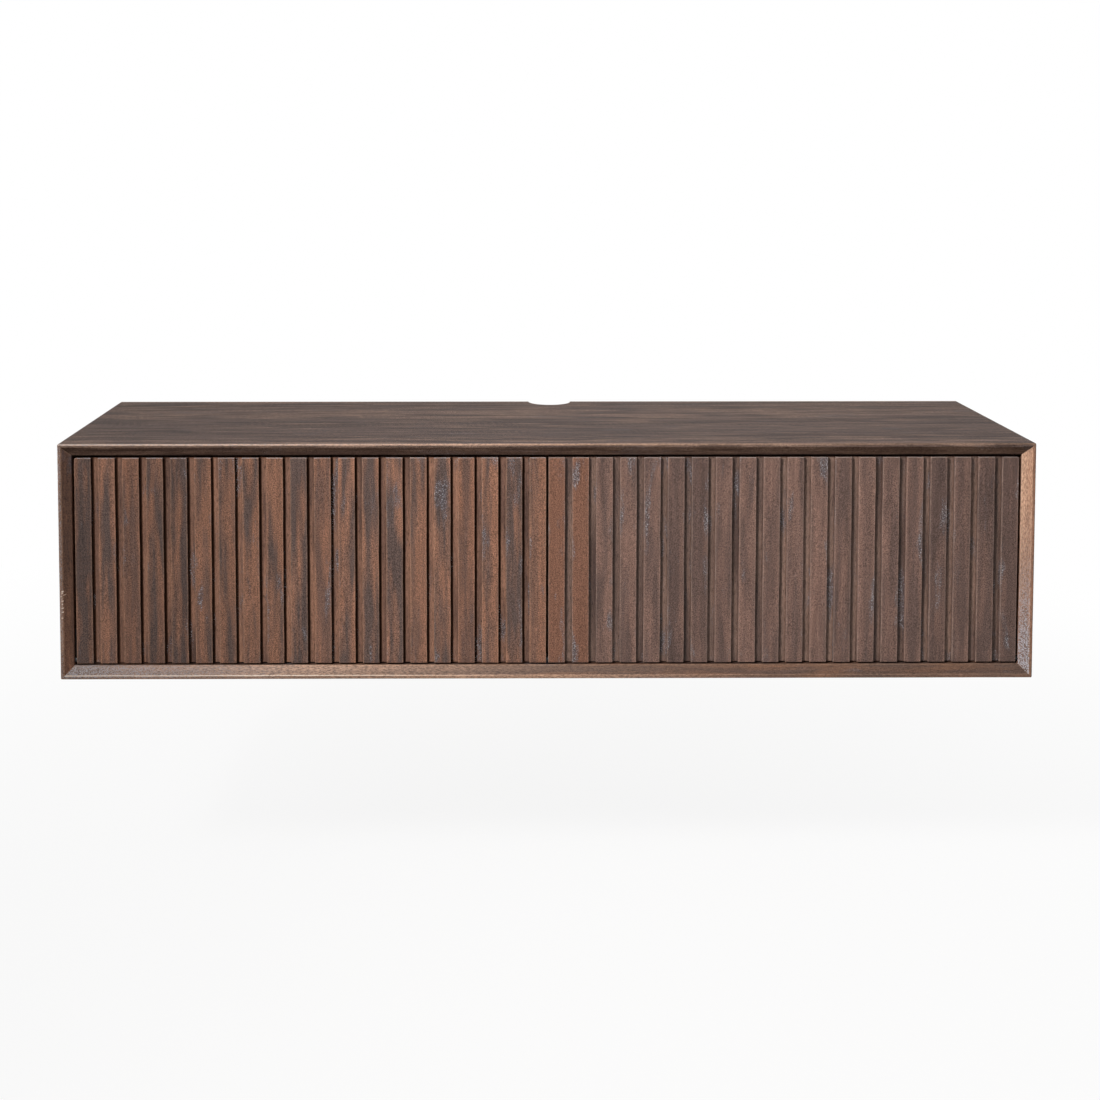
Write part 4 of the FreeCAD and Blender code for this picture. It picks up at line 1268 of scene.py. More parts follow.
    def stations(self, panel: Panel) -> list[float]:
        """Choose where the straight part of a panel is drawn.

        Args:
            panel: Which panel.

        Returns:
            Distances from the panel's middle, in order.
        """
        reach = self.half_length(panel) - self.end_zone
        count = round(2 * reach / self.station)
        runs = [-reach + 2 * reach * number / count for number in range(count + 1)]
        if panel is Panel.LEFT:
            near = (-self.chip_reach, 0.0, self.chip_reach)
            runs += [at + step for at, _ in self.chips for step in near]
        if panel is Panel.TOP:
            gap = self.notch_radius + self.notch_gap
            runs = [run for run in runs if abs(run - self.notch_x) > gap]
        if panel is Panel.BOTTOM:
            walls = (-self.foot_half, self.foot_half)
            runs = [run for run in runs if abs(abs(run) - self.foot_half) > self.foot_gap]
            runs += [at + side for at in walls for side in (-self.foot_wall, self.foot_wall)]
        return sorted(runs)

    def spot(
        self, panel: Panel, run: float, inset: float, y: float, point: ProfilePoint
    ) -> Spot:
        """Turn a place on a panel into a point of the frame with its wear, painted shade and
        painted highlight.

        Args:
            panel: Which panel.
            run: Distance along the panel from its middle.
            inset: Distance in from its outer face.
            y: Distance back, as in the frame.
            point: Point of the section that the place belongs to.

        Returns:
            The spot.
        """
        wear_and_light = WEAR_AND_PAINTED_LIGHT[panel]
        part = 0.5 + run / (2 * self.half_length(panel))
        wear = point.wear * wear_and_light.wear(point.zone, part)
        if panel is Panel.LEFT and point.zone is not Zone.PLAIN:
            near = self.chip_reach / 2
            if any(
                abs(run - at) < near and abs(point.inset - deep) < 2 * near
                for at, deep in self.chips
            ):
                wear = self.chip_wear
            elif self.scuff[0] < run < self.scuff[1] and point.zone is Zone.LIP:
                wear = self.scuff_wear
        on_bevel = point.zone in (Zone.EDGE, Zone.BEVEL, Zone.MOUTH)
        # Painted shade on the top's bevel, which faces down into shade.
        margin = 1.0 + wear_and_light.painted_shade if on_bevel and wear_and_light.painted_shade else 0.0
        # Painted highlight where the light catches the front.
        painted_highlight = wear_and_light.between(wear_and_light.painted_highlight, part) if point.zone in wear_and_light.hazy else 0.0
        return Spot(self.stand(panel, run, inset, y), wear, margin, painted_highlight)

    def end_ring(self, panel: Panel, sign: int, step: int) -> list[Spot]:
        """Draw a ring near a mitre: straight at first and then round the corner to 45 degrees.

        Args:
            panel: Which panel.
            sign: Which end, -1 or 1.
            step: Number of the ring, up to the one that lies on the mitre.

        Returns:
            The ring.
        """
        steps, straight = self.end_steps, self.end_steps // 2
        highlighted_mitre = panel is Panel.RIGHT and sign < 0
        ring = []
        for point in self.section():
            start = self.half_length(panel) - self.end_zone
            centre = self.half_length(panel) - point.inset - point.round
            if step <= straight:
                run = start + (centre - start) * step / straight
                inset = point.inset
            else:
                turn = math.pi / 4 * (step - straight) / (steps - straight)
                run = centre + point.round * math.sin(turn)
                inset = point.inset + point.round * (1 - math.cos(turn))
            spot = self.spot(panel, sign * run, inset, point.y, point)
            # The bevel's mitre carries wear; the lower right one a painted highlight in bare
            # timber colour.
            if step == steps and point.zone is Zone.BEVEL:
                rubbed = self.painted_mitre_highlight if highlighted_mitre else self.mitre_wear
                spot = Spot(spot.point, max(spot.wear, rubbed))
            ring.append(spot)
        return ring

    def straight_ring(self, panel: Panel, run: float) -> list[Spot]:
        """Draw a ring across the straight part of a panel, a little uneven as by hand.

        Args:
            panel: Which panel.
            run: Distance from the panel's middle.

        Returns:
            The ring.
        """
        reach = self.half_length(panel) - self.end_zone
        fade = min(1.0, (reach - abs(run)) / self.waver_fade)
        seed = 3.0 * list(Panel).index(panel)
        (past_front, past_lip), (deep, high) = self.waver_reach, self.waver_lengths
        on_foot = panel is Panel.BOTTOM and abs(run) < self.foot_half
        ring = []
        for point in self.section():
            inset, y = point.inset, point.y
            if y < self.front + past_front and inset > 0:
                y += fade * max(0.0, wander(run, seed, self.waver, deep))
            if self.arris <= inset <= self.lip + past_lip:
                inset += fade * wander(run, seed + 7, self.waver, high)
            if on_foot and inset == self.thickness and self.foot_front < y < self.foot_back:
                inset -= self.foot_depth
            ring.append(self.spot(panel, run, inset, y, point))
        return ring

    def notch_ring(self, turn: float) -> list[Spot]:
        """Draw a ring of the top panel where its back edge follows the half-round cable notch.

        Args:
            turn: Angle round the notch, nought at its right end.

        Returns:
            The ring.
        """
        ring = []
        cut = self.notch_radius * math.sin(turn)
        for point in self.section():
            back = -point.y
            x = self.notch_x + self.notch_radius * math.cos(turn)
            if back <= self.rear_ease:
                radius = self.notch_radius + back
                x = self.notch_x + radius * math.cos(turn)
                back = max(back, radius * math.sin(turn))
            elif back < self.notch_zone:
                back = cut + (self.notch_zone - cut) * back / self.notch_zone
            ring.append(self.spot(Panel.TOP, x, point.inset, -back, point))
        return ring

    def panel_rings(self, panel: Panel) -> list[list[Spot]]:
        """Draw all the rings of a panel from one mitre to the other.

        Args:
            panel: Which panel.

        Returns:
            The rings in order.
        """
        steps = range(1, self.end_steps + 1)
        placed = [(run, self.straight_ring(panel, run)) for run in self.stations(panel)]
        if panel is Panel.TOP:
            for number in range(self.notch_steps + 1):
                turn = math.pi * number / self.notch_steps
                run = self.notch_x + self.notch_radius * math.cos(turn)
                placed.append((run, self.notch_ring(turn)))
        rings = [self.end_ring(panel, -1, step) for step in reversed(steps)]
        rings += [ring for _, ring in sorted(placed, key=lambda pair: pair[0])]
        return rings + [self.end_ring(panel, 1, step) for step in steps]

    def build(self) -> None:
        """Draw and finish the four panels, and finish what joins them."""
        finishes = (MANGO_TOP, MANGO_BASE, MANGO_SIDE, MANGO_SIDE)
        for number, (panel, finish) in enumerate(zip(Panel, finishes)):
            draft = MeshDraft()
            draft.loft(self.panel_rings(panel), board=0.21 * (number + 1))
            piece = draft.build("shaped_" + panel.value, finish)
            self.place(piece, "cabinet", "walnut_stained_wood", panel.value)
        self.finish_node("mitre_splines", BIRCH_PLYWOOD)


# ---- Flaps --------------------------------------------------------------------------------


@dataclass
class SlattedFlap(SubAssembly):
    """One flap: upright slats on a backing board, with its let-in hardware."""

    side: Side
    inner_x: float = 0.00175
    outer_x: float = 0.7275
    face_y: float = -0.3895
    board_y: float = -0.3835
    back_y: float = -0.3675
    bottom_z: float = -0.2534
    top_z: float = 0.0675
    slat_count: int = 20
    slat_width: float = 0.0256
    slat_rows: int = 30
    arris: float = 0.0007
    end_ease: float = 0.0014
    end_waver: float = 0.25  # share by which the rounding of a slat's end strays
    end_depth: float = 0.8  # depth of that rounding against its height
    end_rub: tuple[float, float] = (0.75, 0.6)  # usual wear of a slat's end, and how it strays
    rub_from: float = 0.0002  # how far the rounding has fallen back where that wear starts
    foot_step: float = 0.0004  # depth of the row of painted shade at a slat's foot
    board_ease: float = 0.0006
    corner: float = 0.0025
    board_corner: float = 0.0008
    least_corner: float = 0.0002  # what the board's easing leaves of a corner
    waver: float = 0.0004  # how far a slat's sawn sides stray
    waver_length: float = 0.045
    arris_share: float = 1.1  # usual width of a slat's arris against the named one
    arris_waver: tuple[float, float] = (0.9, 0.02)  # how far that strays, and over what length
    dip: float = 0.00010  # half of the depth of the hollows in a slat's face
    leaf_proud: float = 0.00012  # the steel leaves stand this far out of the timber
    leaf_ease: float = 0.15 * MM
    # The grooves' floors reach under the slats, stand proud of the board and end shy of its ends.
    # The shade widths are the distances from a slat's foot at which the painted shade fades out.
    tuck: float = 0.0012
    floor_proud: float = 0.00006
    floor_shy: float = 0.0003
    inner_shade_width: float = 0.0012
    outer_shade_widths: tuple[float, float] = (0.0042, 0.0030)

    @property
    def body(self) -> str:
        """The CAD body that the whole flap rides on."""
        return self.side.prefix + "flap"

    @property
    def painted_foot_shade(self) -> float:
        """Painted shade at the foot of a slat's inner side, from 1 to 2: darker on the left flap,
        whose inner sides face away from the light.
        """
        return 2.0 if self.side is Side.LEFT else 1.15

    @property
    def painted_end_highlight(self) -> float:
        """Painted highlight on the slats' top ends, drawn as milky lacquer, where light from above
        catches them.
        """
        return 0.5 if self.side is Side.LEFT else 0.15

    @property
    def pitch(self) -> float:
        """Distance from one slat to the next."""
        return (self.outer_x - self.inner_x - self.slat_width) / (self.slat_count - 1)

    def point(self, x: float, y: float, z: float) -> Vector:
        """A point of this half, given for the right half."""
        return Vector((self.side.value * x, y, z))

    def heights(self) -> list[float]:
        """Choose the heights at which a slat is drawn, closer together at its rounded ends.

        Returns:
            The heights, from the lowest.
        """
        near = [0.0, 0.06, 0.25, 0.55, 1.0]
        low = [self.bottom_z + self.end_ease * part for part in near]
        high = [self.top_z - self.end_ease * part for part in reversed(near)]
        count, span = self.slat_rows, high[0] - low[-1]
        return low + [low[-1] + span * number / count for number in range(1, count)] + high

    def set_back(self, z: float, seed: float) -> float:
        """Find how far a slat's face falls back near its ends.

        Args:
            z: Height on the slat.
            seed: Number that tells one slat from another.

        Returns:
            The distance.
        """
        away = min(z - self.bottom_z, self.top_z - z)
        uneven = noise.noise(Vector((seed, 4.1, z * 9)))
        reach = self.end_ease * (1 + self.end_waver * uneven)
        part = max(0.0, 1 - away / reach)
        return self.end_depth * reach * (1 - math.sqrt(1 - part * part))

    def corner_cut(self, z: float) -> float:
        """How far the flap's outer top corner is rounded off at a height."""
        rise = max(0.0, self.corner - (self.top_z - z))
        return self.corner - math.sqrt(self.corner**2 - rise**2)

    def slat_ring(self, number: int, z: float) -> list[Spot]:
        """Draw the section of one slat at a height, a little uneven as by hand.

        Args:
            number: Number of the slat, counted from the cabinet's middle.
            z: Height of the section.

        Returns:
            The ring.
        """
        seed = number + 40.0 * self.side.value
        low = self.inner_x + number * self.pitch
        high = low + self.slat_width
        if number:
            low += wander(z, seed, self.waver, self.waver_length)
        else:
            low += self.leaf_proud
        if number < self.slat_count - 1:
            high += wander(z, seed + 0.5, self.waver, self.waver_length)
        else:
            high -= self.leaf_proud + self.corner_cut(z)
        face = self.face_y + self.set_back(z, seed)
        left, right = (
            self.arris * (self.arris_share + wander(z, seed + edge, *self.arris_waver))
            for edge in (11, 13)
        )
        usual, stray = self.end_rub
        rubbed_end = usual + stray * noise.noise(Vector((seed, 8.3, 2.0 if z > 0 else 5.0)))
        end_wear = rubbed_end if face > self.face_y + self.rub_from else 0.0
        # The top ends get a painted highlight, where light from above catches them.
        end_highlight = self.painted_end_highlight if end_wear and z > 0 else 0.0
        feet = (self.board_y, self.board_y - self.foot_step)
        # Points of a rounded arris: parts of its width along and back, and the wear.
        rounding = ((0.0, 1.0, 0.2), (0.12, 0.5, 0.45), (0.5, 0.12, 0.45), (1.0, 0.0, 0.15))
        # Painted shade at the slat's feet, where it meets the board.
        ring = [Spot(self.point(low, y, z), 0.0, self.painted_foot_shade) for y in feet]
        for along, back, wear in rounding:
            place = self.point(low + left * along, face + left * back, z)
            ring.append(Spot(place, max(wear, end_wear), 1.0, end_highlight))
        inside, outside = low + left, high - right
        for part in (0.08, 0.25, 0.5, 0.75, 0.92):
            x = inside + (outside - inside) * part
            dip = self.dip * (1 + noise.noise(Vector((x * 70, seed, z * 22))))
            place = self.point(x, face + dip, z)
            ring.append(Spot(place, end_wear, abs(2 * part - 1) ** 2, end_highlight))
        for along, back, wear in reversed(rounding):
            place = self.point(high - right * along, face + right * back, z)
            ring.append(Spot(place, max(wear, end_wear), 1.0, end_highlight))
        return ring + [Spot(self.point(high, y, z), 0.0, 2.0) for y in reversed(feet)]

    def slats(self) -> Object:
        """Draw all the flap's slats as one piece.

        Returns:
            The piece.
        """
        draft = MeshDraft()
        tones_and_shade, warmths = SLAT_TONES_AND_SHADE[self.side], WARM_SLATS[self.side]
        for number in range(self.slat_count):
            rings = [self.slat_ring(number, z) for z in self.heights()]
            board = (0.618 * (number + 1) + 0.29 * self.side.value) % 1.0
            draft.loft(rings, board, tones_and_shade.get(number, 0.0), warmths.get(number, 0.0))
        return draft.build(self.side.prefix + "slats", MANGO_SLATS[self.side])

    def groove_floors(self) -> Object:
        """Draw the board's face in the grooves, with painted shade along the slats' feet, darkest
        on the side that lies in the slats' shadow.

        Returns:
            The piece.
        """
        draft = MeshDraft()
        tuck, proud, shy = self.tuck, self.floor_proud, self.floor_shy
        far, near = self.outer_shade_widths
        # Painted shade at each groove's sides, darkest on the side in the slats' shadow.
        inner, outer = (1.1, 2.0) if self.side is Side.LEFT else (1.3, 1.15)
        for number in range(self.slat_count - 1):
            start = self.inner_x + number * self.pitch + self.slat_width
            end = self.inner_x + (number + 1) * self.pitch
            columns = (
                (start - tuck, inner),
                (start, inner),
                (start + self.inner_shade_width, 1.0),
                (end - far, 1.0),
                (end - near, 0.8 * outer),
                (end, outer),
                (end + tuck, outer),
            )
            outline = [(x, self.board_y - proud, margin) for x, margin in columns]
            outline += [(x, self.board_y + proud, margin) for x, margin in reversed(columns)]
            rings = [
                [Spot(self.point(x, y, z), 0.0, margin) for x, y, margin in outline]
                for z in (self.bottom_z + shy, self.top_z - shy)
            ]
            draft.loft(rings, board=(0.37 * number) % 1.0)
        return draft.build(self.side.prefix + "groove_floors", MANGO_GROOVES[self.side])

    def board_ring(self, y: float, ease: float, wear: float) -> list[Spot]:
        """Draw the outline of the backing board at a depth.

        Args:
            y: The depth, as in the frame.
            ease: How far the outline is drawn in.
            wear: How rubbed the stain is there.

        Returns:
            The ring.
        """
        low_x, high_x = self.inner_x + self.leaf_proud, self.outer_x - self.leaf_proud
        corners = (
            (low_x, self.bottom_z, self.board_corner, 180),
            (high_x, self.bottom_z, self.board_corner, 270),
            (high_x, self.top_z, self.corner, 0),
            (low_x, self.top_z, self.board_corner, 90),
        )
        ring = []
        for x, z, radius, first in corners:
            inward_x = 1 if x == low_x else -1
            inward_z = 1 if z == self.bottom_z else -1
            radius = max(radius, ease + self.least_corner)
            centre_x, centre_z = x + inward_x * radius, z + inward_z * radius
            reach = radius - ease
            for step in range(5):
                turn = math.radians(first + 90 * step / 4)
                x_out, z_out = reach * math.cos(turn), reach * math.sin(turn)
                ring.append(Spot(self.point(centre_x + x_out, y, centre_z + z_out), wear))
        return ring

    def backing_board(self) -> Object:
        """Draw the board behind the slats with eased arrises.

        Returns:
            The piece.
        """
        ease = self.board_ease
        depths = (
            (self.board_y, 0.0, 0.0),
            (self.back_y - 0.002, 0.0, 0.0),
            (self.back_y - ease, 0.0, 0.5),
            (self.back_y - 0.3 * ease, 0.3 * ease, 0.7),
            (self.back_y, ease, 0.5),
            (self.back_y, 3 * ease, 0.0),
        )
        draft = MeshDraft()
        draft.loft([self.board_ring(*depth) for depth in depths], board=0.43)
        return draft.build(self.side.prefix + "backing_board", MANGO_FLAP_BOARD)

    def strike(self) -> Object:
        """Draw the strike plate as a shallow pressed disc.

        Returns:
            The piece.
        """
        low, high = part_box(self.side.prefix + "strike_plate")
        centre = (low + high) / 2
        radius = (high.x - low.x) / 2
        start = Vector((centre.x, low.y, centre.z))
        depth = high.y - low.y
        # The rim is rounded, and the middle is pressed in.
        rim, dish = depth + 0.0001, depth - 0.0003
        profile = (
            (0.0, radius),
            (depth - 0.0002, radius),
            (rim, radius - 0.0003),
            (rim, radius - 0.0014),
            (dish, radius - 0.0022),
            (dish, 0.0006),
        )
        draft = MeshDraft()
        draft.loft(turned_rings(profile, start, Vector((0, 1, 0))))
        return draft.build(self.side.prefix + "strike_disc", ZINC)

    def build(self) -> None:
        """Draw and finish the flap and what is let into it."""
        own, body = self.side.prefix, self.body
        self.place(self.slats(), body, "walnut_stained_slats", own + "flap_slats")
        self.place(self.backing_board(), body, "walnut_stained_board", own + "flap_panel")
        self.place(self.groove_floors(), body, "walnut_stained_board")
        self.place(self.strike(), body, "zinc_steel", own + "strike_plate")
        for leaf in ("flap_inner_leaf", "flap_outer_leaf"):
            name = own + "eased_" + leaf
            self.ease(own + leaf, name, BLACK_ZINC, self.leaf_ease, body, "zinc_steel")
        screws = Screws(own + "flap_screws").build()
        self.place(screws, body, "zinc_steel", own + "flap_screws")


# ---- Hardware -----------------------------------------------------------------------------


@dataclass
class Screws:
    """Countersunk screws with a cross recess, where a CAD node has its plain ones."""

    node: str
    head: float = 0.0032
    shank: float = 0.0016
    length: float = 0.015
    tip: float = 0.003
    wing: float = 0.0019
    wing_angle: float = 14.0  # degrees from a wing's middle to its side
    core: float = 0.0008
    point: float = 0.0002  # radius of the tip's end
    ease: float = 0.0001  # rounding of the head's arris
    recess: float = 0.0013
    taper: float = 0.75
    sides: int = 32

    def seat(self, points: list[Vector]) -> tuple[Vector, Vector]:
        """Find a screw's head and the way it is driven.

        Args:
            points: Points of the plain screw.

        Returns:
            Middle of the head's face, and a unit vector from the head to the tip.
        """
        low, high = limits(points)
        size = high - low
        axis = max(range(3), key=lambda number: size[number])
        at_low = [point for point in points if point[axis] < low[axis] + self.tip / 10]
        wide_low, wide_high = limits(at_low)
        head_is_low = (wide_high - wide_low).length > self.head
        start, direction = (low + high) / 2, Vector((0, 0, 0))
        start[axis] = low[axis] if head_is_low else high[axis]
        direction[axis] = 1.0 if head_is_low else -1.0
        return start, direction

    def recess_ring(self, start: Vector, axis: Vector, depth: float, scale: float) -> list[Spot]:
        """Draw the outline of the cross recess at a depth.

        Args:
            start: Middle of the head's face.
            axis: Unit vector from the head to the tip.
            depth: Distance from the face.
            scale: Size of the outline against the one in the face.

        Returns:
            The ring.
        """
        right = axis.orthogonal().normalized()
        up = axis.cross(right)
        ring = []
        for number in range(self.sides):
            turn = math.tau * number / self.sides
            off = abs((turn + math.pi / 4) % (math.pi / 2) - math.pi / 4)
            reach = self.wing if off < math.radians(self.wing_angle) else self.core
            spread = (right * math.cos(turn) + up * math.sin(turn)) * reach * scale
            ring.append(Spot(start + axis * depth + spread))
        return ring

    def build(self) -> Object:
        """Draw every screw of the node as one piece.

        Returns:
            The piece.
        """
        draft = MeshDraft()
        profile = (
            (self.length, self.point),
            (self.length - self.tip, self.shank),
            (self.head - self.shank, self.shank),
            (3 * self.ease, self.head - self.ease),
            (self.ease, self.head),
            (0.0, self.head - 2 * self.ease),
        )
        for points in parts_of(self.node):
            start, axis = self.seat(points)
            rings = turned_rings(profile, start, axis, self.sides)
            rings.append(self.recess_ring(start, axis, 0.0, 1.0))
            rings.append(self.recess_ring(start, axis, self.recess, self.taper))
            draft.loft(rings)
        return draft.build(self.node + "_recessed", ZINC, sharp=35.0)


@dataclass
class Spring:
    """A compression spring wound from wire, where a CAD node has its plain one."""

    node: str
    wire: float = 0.0003
    turns: int = 7
    sides: int = 8
    steps: int = 24  # stations in each turn
    closed_pitch: float = 0.00064  # pitch of the first and last turn

    def rise(self, turned: float, length: float) -> float:
        """How far along the spring the wire is.

        Args:
            turned: Number of turns from its start.
            length: Length between the wire's ends.

        Returns:
            The distance along the axis.
        """
        left = self.turns - turned
        if turned < 1:
            return self.closed_pitch * turned
        if left < 1:
            return length - self.closed_pitch * left
        open_length = length - 2 * self.closed_pitch
        return self.closed_pitch + open_length * (turned - 1) / (self.turns - 2)

    def build(self) -> Object:
        """Draw the spring along Y.

        Returns:
            The piece.
        """
        low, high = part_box(self.node)
        middle = (low + high) / 2
        mean = (high.x - low.x) / 2 - self.wire
        length = high.y - low.y - 2 * self.wire
        along = Vector((0, 1, 0))
        around = [math.tau * side / self.sides for side in range(self.sides)]
        rings = []
        for number in range(self.turns * self.steps + 1):
            turned = number / self.steps
            angle = math.tau * turned
            outward = Vector((math.cos(angle), 0, math.sin(angle)))
            y = low.y + self.wire + self.rise(turned, length)
            centre = Vector((middle.x, y, middle.z)) + outward * mean
            spread = [(outward * math.cos(a) + along * math.sin(a)) * self.wire for a in around]
            rings.append([Spot(centre + offset) for offset in spread])
        draft = MeshDraft()
        draft.loft(rings)
        return draft.build(self.node + "_coil", ZINC)


@dataclass
class Hardware(SubAssembly):
    """Fixed pivots, stays and latches of both halves."""

    plate_ease: float = 0.0002
    barrel_ease: float = 0.0003
    plunger_travel: float = 0.0015

    def pivots(self) -> None:
        """Finish the fixed half of the flap pivots."""
        bracket = ("centre_pivot_bracket", "eased_centre_bracket")
        self.ease(*bracket, BLACK_ZINC, self.plate_ease, "cabinet", "zinc_steel")
        screws = Screws("pivot_screws").build()
        self.place(screws, "cabinet", "zinc_steel", "pivot_screws")
        self.finish_node("centre_pivot_pin", ZINC)
        self.finish_node("pivot_washers", BLACK_NYLON)
        for side in Side:
            plate = (side.prefix + "pivot_plate", side.prefix + "eased_pivot_plate")
            self.ease(*plate, BLACK_ZINC, self.plate_ease, "cabinet", "zinc_steel")
            self.finish_node(side.prefix + "pivot_pin", BLACK_ZINC)

    def stays(self) -> None:
        """Finish the slotted stays."""
        for side in Side:
            own = side.prefix
            for part, body, finish, slot in (
                ("stay_arm", own + "stay", ZINC, "zinc_steel"),
                ("stay_bracket", own + "flap", ZINC, "zinc_steel"),
                ("stay_rivet", own + "flap", ZINC, "zinc_steel"),
                ("stay_screw", "cabinet", ZINC, "zinc_steel"),
                ("stay_spacer", "cabinet", NYLON, "nylon"),
            ):
                self.ease(own + part, own + "eased_" + part, finish, self.plate_ease, body, slot)

    def latches(self) -> None:
        """Finish the push latches and draw their springs."""
        for side in Side:
            own = side.prefix
            barrel = (own + "latch_housing", own + "eased_latch")
            self.ease(*barrel, GREY_ABS, self.barrel_ease, "cabinet", "grey_plastic")
            self.finish_node(own + "latch_plunger", NYLON)
            coil = Spring(own + "latch_spring").build()
            self.place(coil, "cabinet", "zinc_steel", own + "latch_spring")
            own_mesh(coil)

    def build(self) -> None:
        """Draw and finish all the fixed and sliding hardware."""
        self.pivots()
        self.stays()
        self.latches()


# ---- Inside and behind --------------------------------------------------------------------


@dataclass
class Interior(SubAssembly):
    """Divider, back panels, cable outlets, stop rails and the cleat."""

    timber_ease: float = 0.0008
    grommet_ease: float = 0.0003
    dome_rings: int = 7
    dome_sides: int = 32

    def buffers(self, side: Side) -> Object:
        """Draw a half's soft buffers as domes.

        Args:
            side: Which half.

        Returns:
            The piece.
        """
        draft = MeshDraft()
        for points in parts_of(side.prefix + "stop_buffers"):
            low, high = limits(points)
            radius = (high.x - low.x) / 2
            height = high.y - low.y
            start = Vector(((low.x + high.x) / 2, high.y, (low.z + high.z) / 2))
            profile = [(0.0, radius)]
            for step in range(1, self.dome_rings):
                turn = math.pi / 2 * step / self.dome_rings
                profile.append((height * math.sin(turn), radius * math.cos(turn) ** 0.8))
            profile.append((height, radius * 0.05))
            draft.loft(turned_rings(profile, start, Vector((0, -1, 0)), self.dome_sides))
        return draft.build(side.prefix + "buffer_domes", BUMPER)

    def build(self) -> None:
        """Draw and finish everything inside the carcase."""
        wood, pine = "walnut_stained_wood", "pine_batten"
        width = self.timber_ease
        self.ease("centre_divider", "eased_divider", MANGO_SIDE, width, "cabinet", wood)
        self.finish_node("divider_dowels", BEECH)
        self.ease("wall_rail", "eased_wall_rail", PINE, width, "cabinet", pine)
        for side in Side:
            own = side.prefix
            for part, name, finish, ease, slot in (
                ("stop_rail", "eased_stop_rail", MANGO_RAIL, width, wood),
                ("hanging_rail", "eased_hanging_rail", PINE, width, pine),
                ("cable_grommet", "eased_grommet", BLACK_ABS, self.grommet_ease, "black_plastic"),
            ):
                self.ease(own + part, own + name, finish, ease, "cabinet", slot)
            self.finish_node(own + "back_panel", VENEER_BACK)
            self.place(self.buffers(side), "cabinet", "soft_rubber", own + "stop_buffers")


# ---- Studio -------------------------------------------------------------------------------


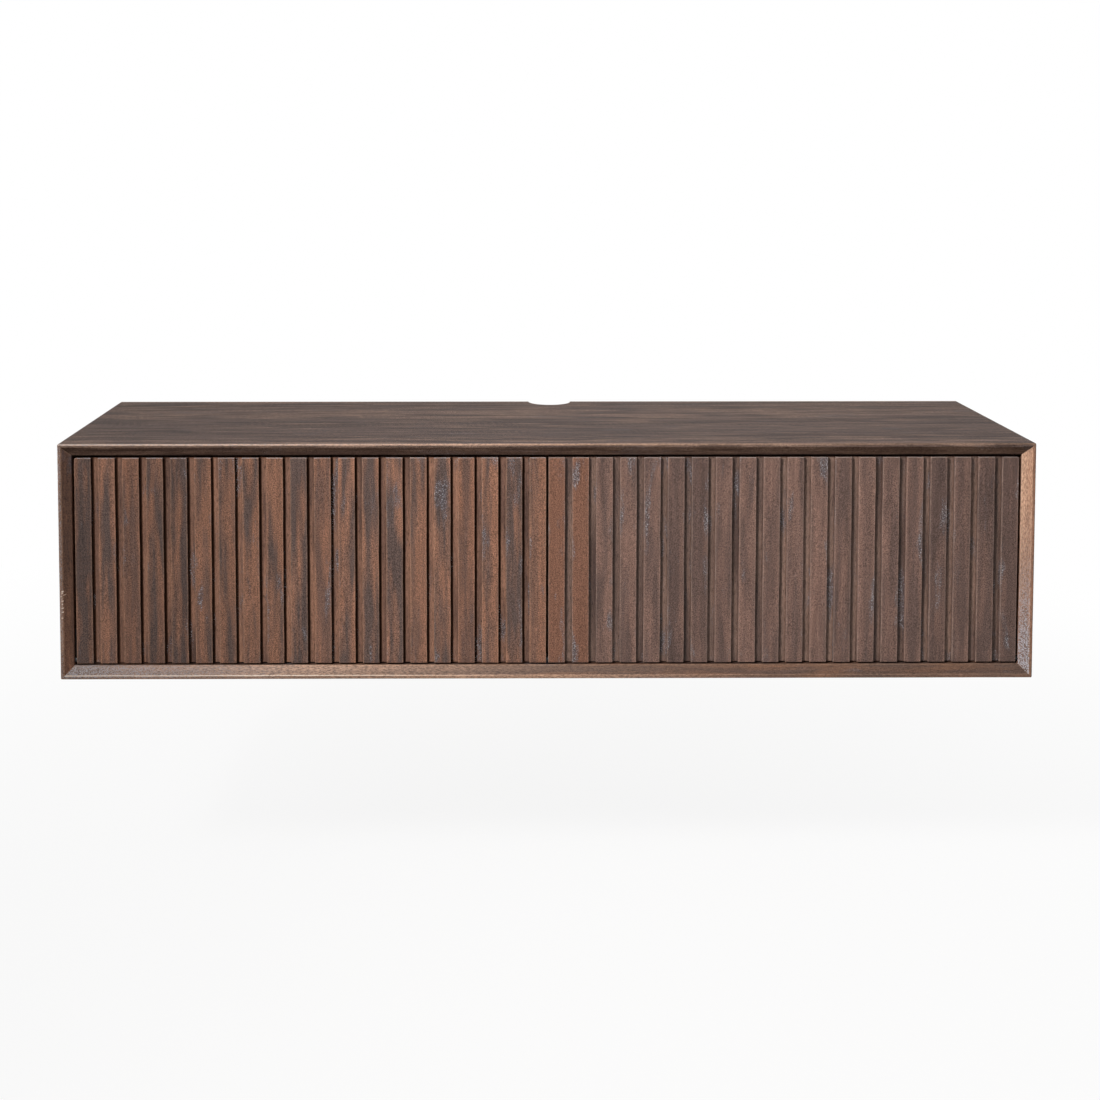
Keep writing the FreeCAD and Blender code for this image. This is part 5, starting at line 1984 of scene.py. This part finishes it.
@dataclass
class Studio:
    """Pale floor, soft light and the camera."""

    floor_z: float = -0.70
    floor_middle: tuple[float, float] = (0.0, -0.5)
    floor_radii: tuple[float, ...] = (9.0, 4.0, 2.0, 0.8, 0.02)
    floor_sides: int = 96
    paper_middle: Place = (0.0, -0.3, -0.70)
    camera_at: Place = (-0.0867, -2.690, 0.5313)
    camera_yaw: float = -0.36
    camera_pitch: float = -3.23
    camera_lens: float = 49.44
    camera_sensor: float = 36.0
    camera_shift: tuple[float, float] = (0.045, -0.281)
    key_at: Place = (-1.30, -2.10, 1.45)
    key_aim: Place = (0.80, -0.39, -0.09)
    key_size: float = 0.36
    key_power: float = 14.3
    key_spread: float = 75.0
    aim: Place = (0.0, -0.2, -0.1)  # where all lamps but the key look
    spread: float = 140.0
    fill_at: Place = (-1.3, -2.6, 2.2)
    fill_size: float = 0.9
    fill_power: float = 13.5
    rear_at: Place = (2.4, 1.8, -0.05)
    rear_size: float = 1.0
    rear_power: float = 16.0
    back_at: Place = (0.25, 1.9, 1.5)
    back_power: float = 3.0
    sky: float = 0.13

    def floor(self) -> None:
        """Lay a round sheet of white paper that keeps the cabinet's soft shadow."""
        draft = MeshDraft()
        start = Vector((*self.floor_middle, self.floor_z))
        profile = [(0.0, radius) for radius in self.floor_radii]
        draft.loft(turned_rings(profile, start, Vector((0, 0, 1)), self.floor_sides))
        draft.faces.pop(-2)  # the face that would close the outer ring
        mesh = bpy.data.meshes.new("paper_floor")
        mesh.from_pydata(draft.points, [], draft.faces)
        mesh.materials.append(Paper("paper_white", self.paper_middle).material())
        sheet = bpy.data.objects.new("paper_floor", mesh)
        bpy.context.scene.collection.objects.link(sheet)

    def world(self) -> None:
        """Set a soft even sky that the eye sees as white."""
        world = bpy.data.worlds.new("white_room")
        bpy.context.scene.world = world
        tree = cleared(world)
        strength = add_node(tree, "MapRange", {0: seen_rays(tree), 3: self.sky, 4: 1.0})
        light = add_node(tree, "Background", {"Color": (1, 1, 1, 1), "Strength": strength})
        add_node(tree, "OutputWorld", {"Surface": light})

    def lamp(
        self, name: str, at: Place, aim: Place, size: float, power: float, spread: float
    ) -> None:
        """Hang a square soft box.

        Args:
            name: The lamp's name.
            at: Place of its middle.
            aim: Point that it faces.
            size: Length of its sides.
            power: Power in watts.
            spread: Degrees over which its light fans out.
        """
        data = bpy.data.lights.new(name, "AREA")
        data.shape = "SQUARE"
        data.size = size
        data.energy = power
        data.spread = math.radians(spread)
        lamp = bpy.data.objects.new(name, data)
        bpy.context.scene.collection.objects.link(lamp)
        lamp.visible_camera = False
        lamp.location = at
        lamp.rotation_euler = (Vector(aim) - Vector(at)).to_track_quat("-Z", "Y").to_euler()

    def camera(self) -> None:
        """Stand the camera a little left of the middle, above the cabinet's top."""
        data = bpy.data.cameras.new("camera")
        data.sensor_width = self.camera_sensor
        data.lens = self.camera_lens
        data.shift_x, data.shift_y = self.camera_shift
        camera = bpy.data.objects.new("camera", data)
        bpy.context.scene.collection.objects.link(camera)
        camera.location = self.camera_at
        pitch, yaw = math.radians(90 + self.camera_pitch), math.radians(self.camera_yaw)
        camera.rotation_euler = (pitch, 0.0, yaw)
        bpy.context.scene.camera = camera

    def build(self) -> None:
        """Set up the whole studio."""
        bpy.context.scene.view_settings.view_transform = "Standard"
        self.world()
        self.floor()
        key = (self.key_at, self.key_aim, self.key_size, self.key_power, self.key_spread)
        self.lamp("key", *key)
        x, y, z = self.rear_at
        for name, at, size, power in (
            ("fill", self.fill_at, self.fill_size, self.fill_power),
            ("rear", (-x, y, z), self.rear_size, self.rear_power),
            ("rear", (x, y, z), self.rear_size, self.rear_power),
            ("back", self.back_at, self.rear_size, self.back_power),
        ):
            self.lamp(name, at, self.aim, size, power, self.spread)
        self.camera()
        LOG.info("Studio: floor, sky, key, fill, rear and back lamps, and camera")


# ---- Assembly -----------------------------------------------------------------------------


def main() -> None:
    """Build the console's looks from the carcase inwards, then the studio round it."""
    logging.basicConfig(level=logging.INFO, format="%(message)s")
    Carcase().build()
    for side in Side:
        SlattedFlap(side).build()
    Hardware().build()
    Interior().build()
    Studio().build()


if __name__ == "__main__":
    main()
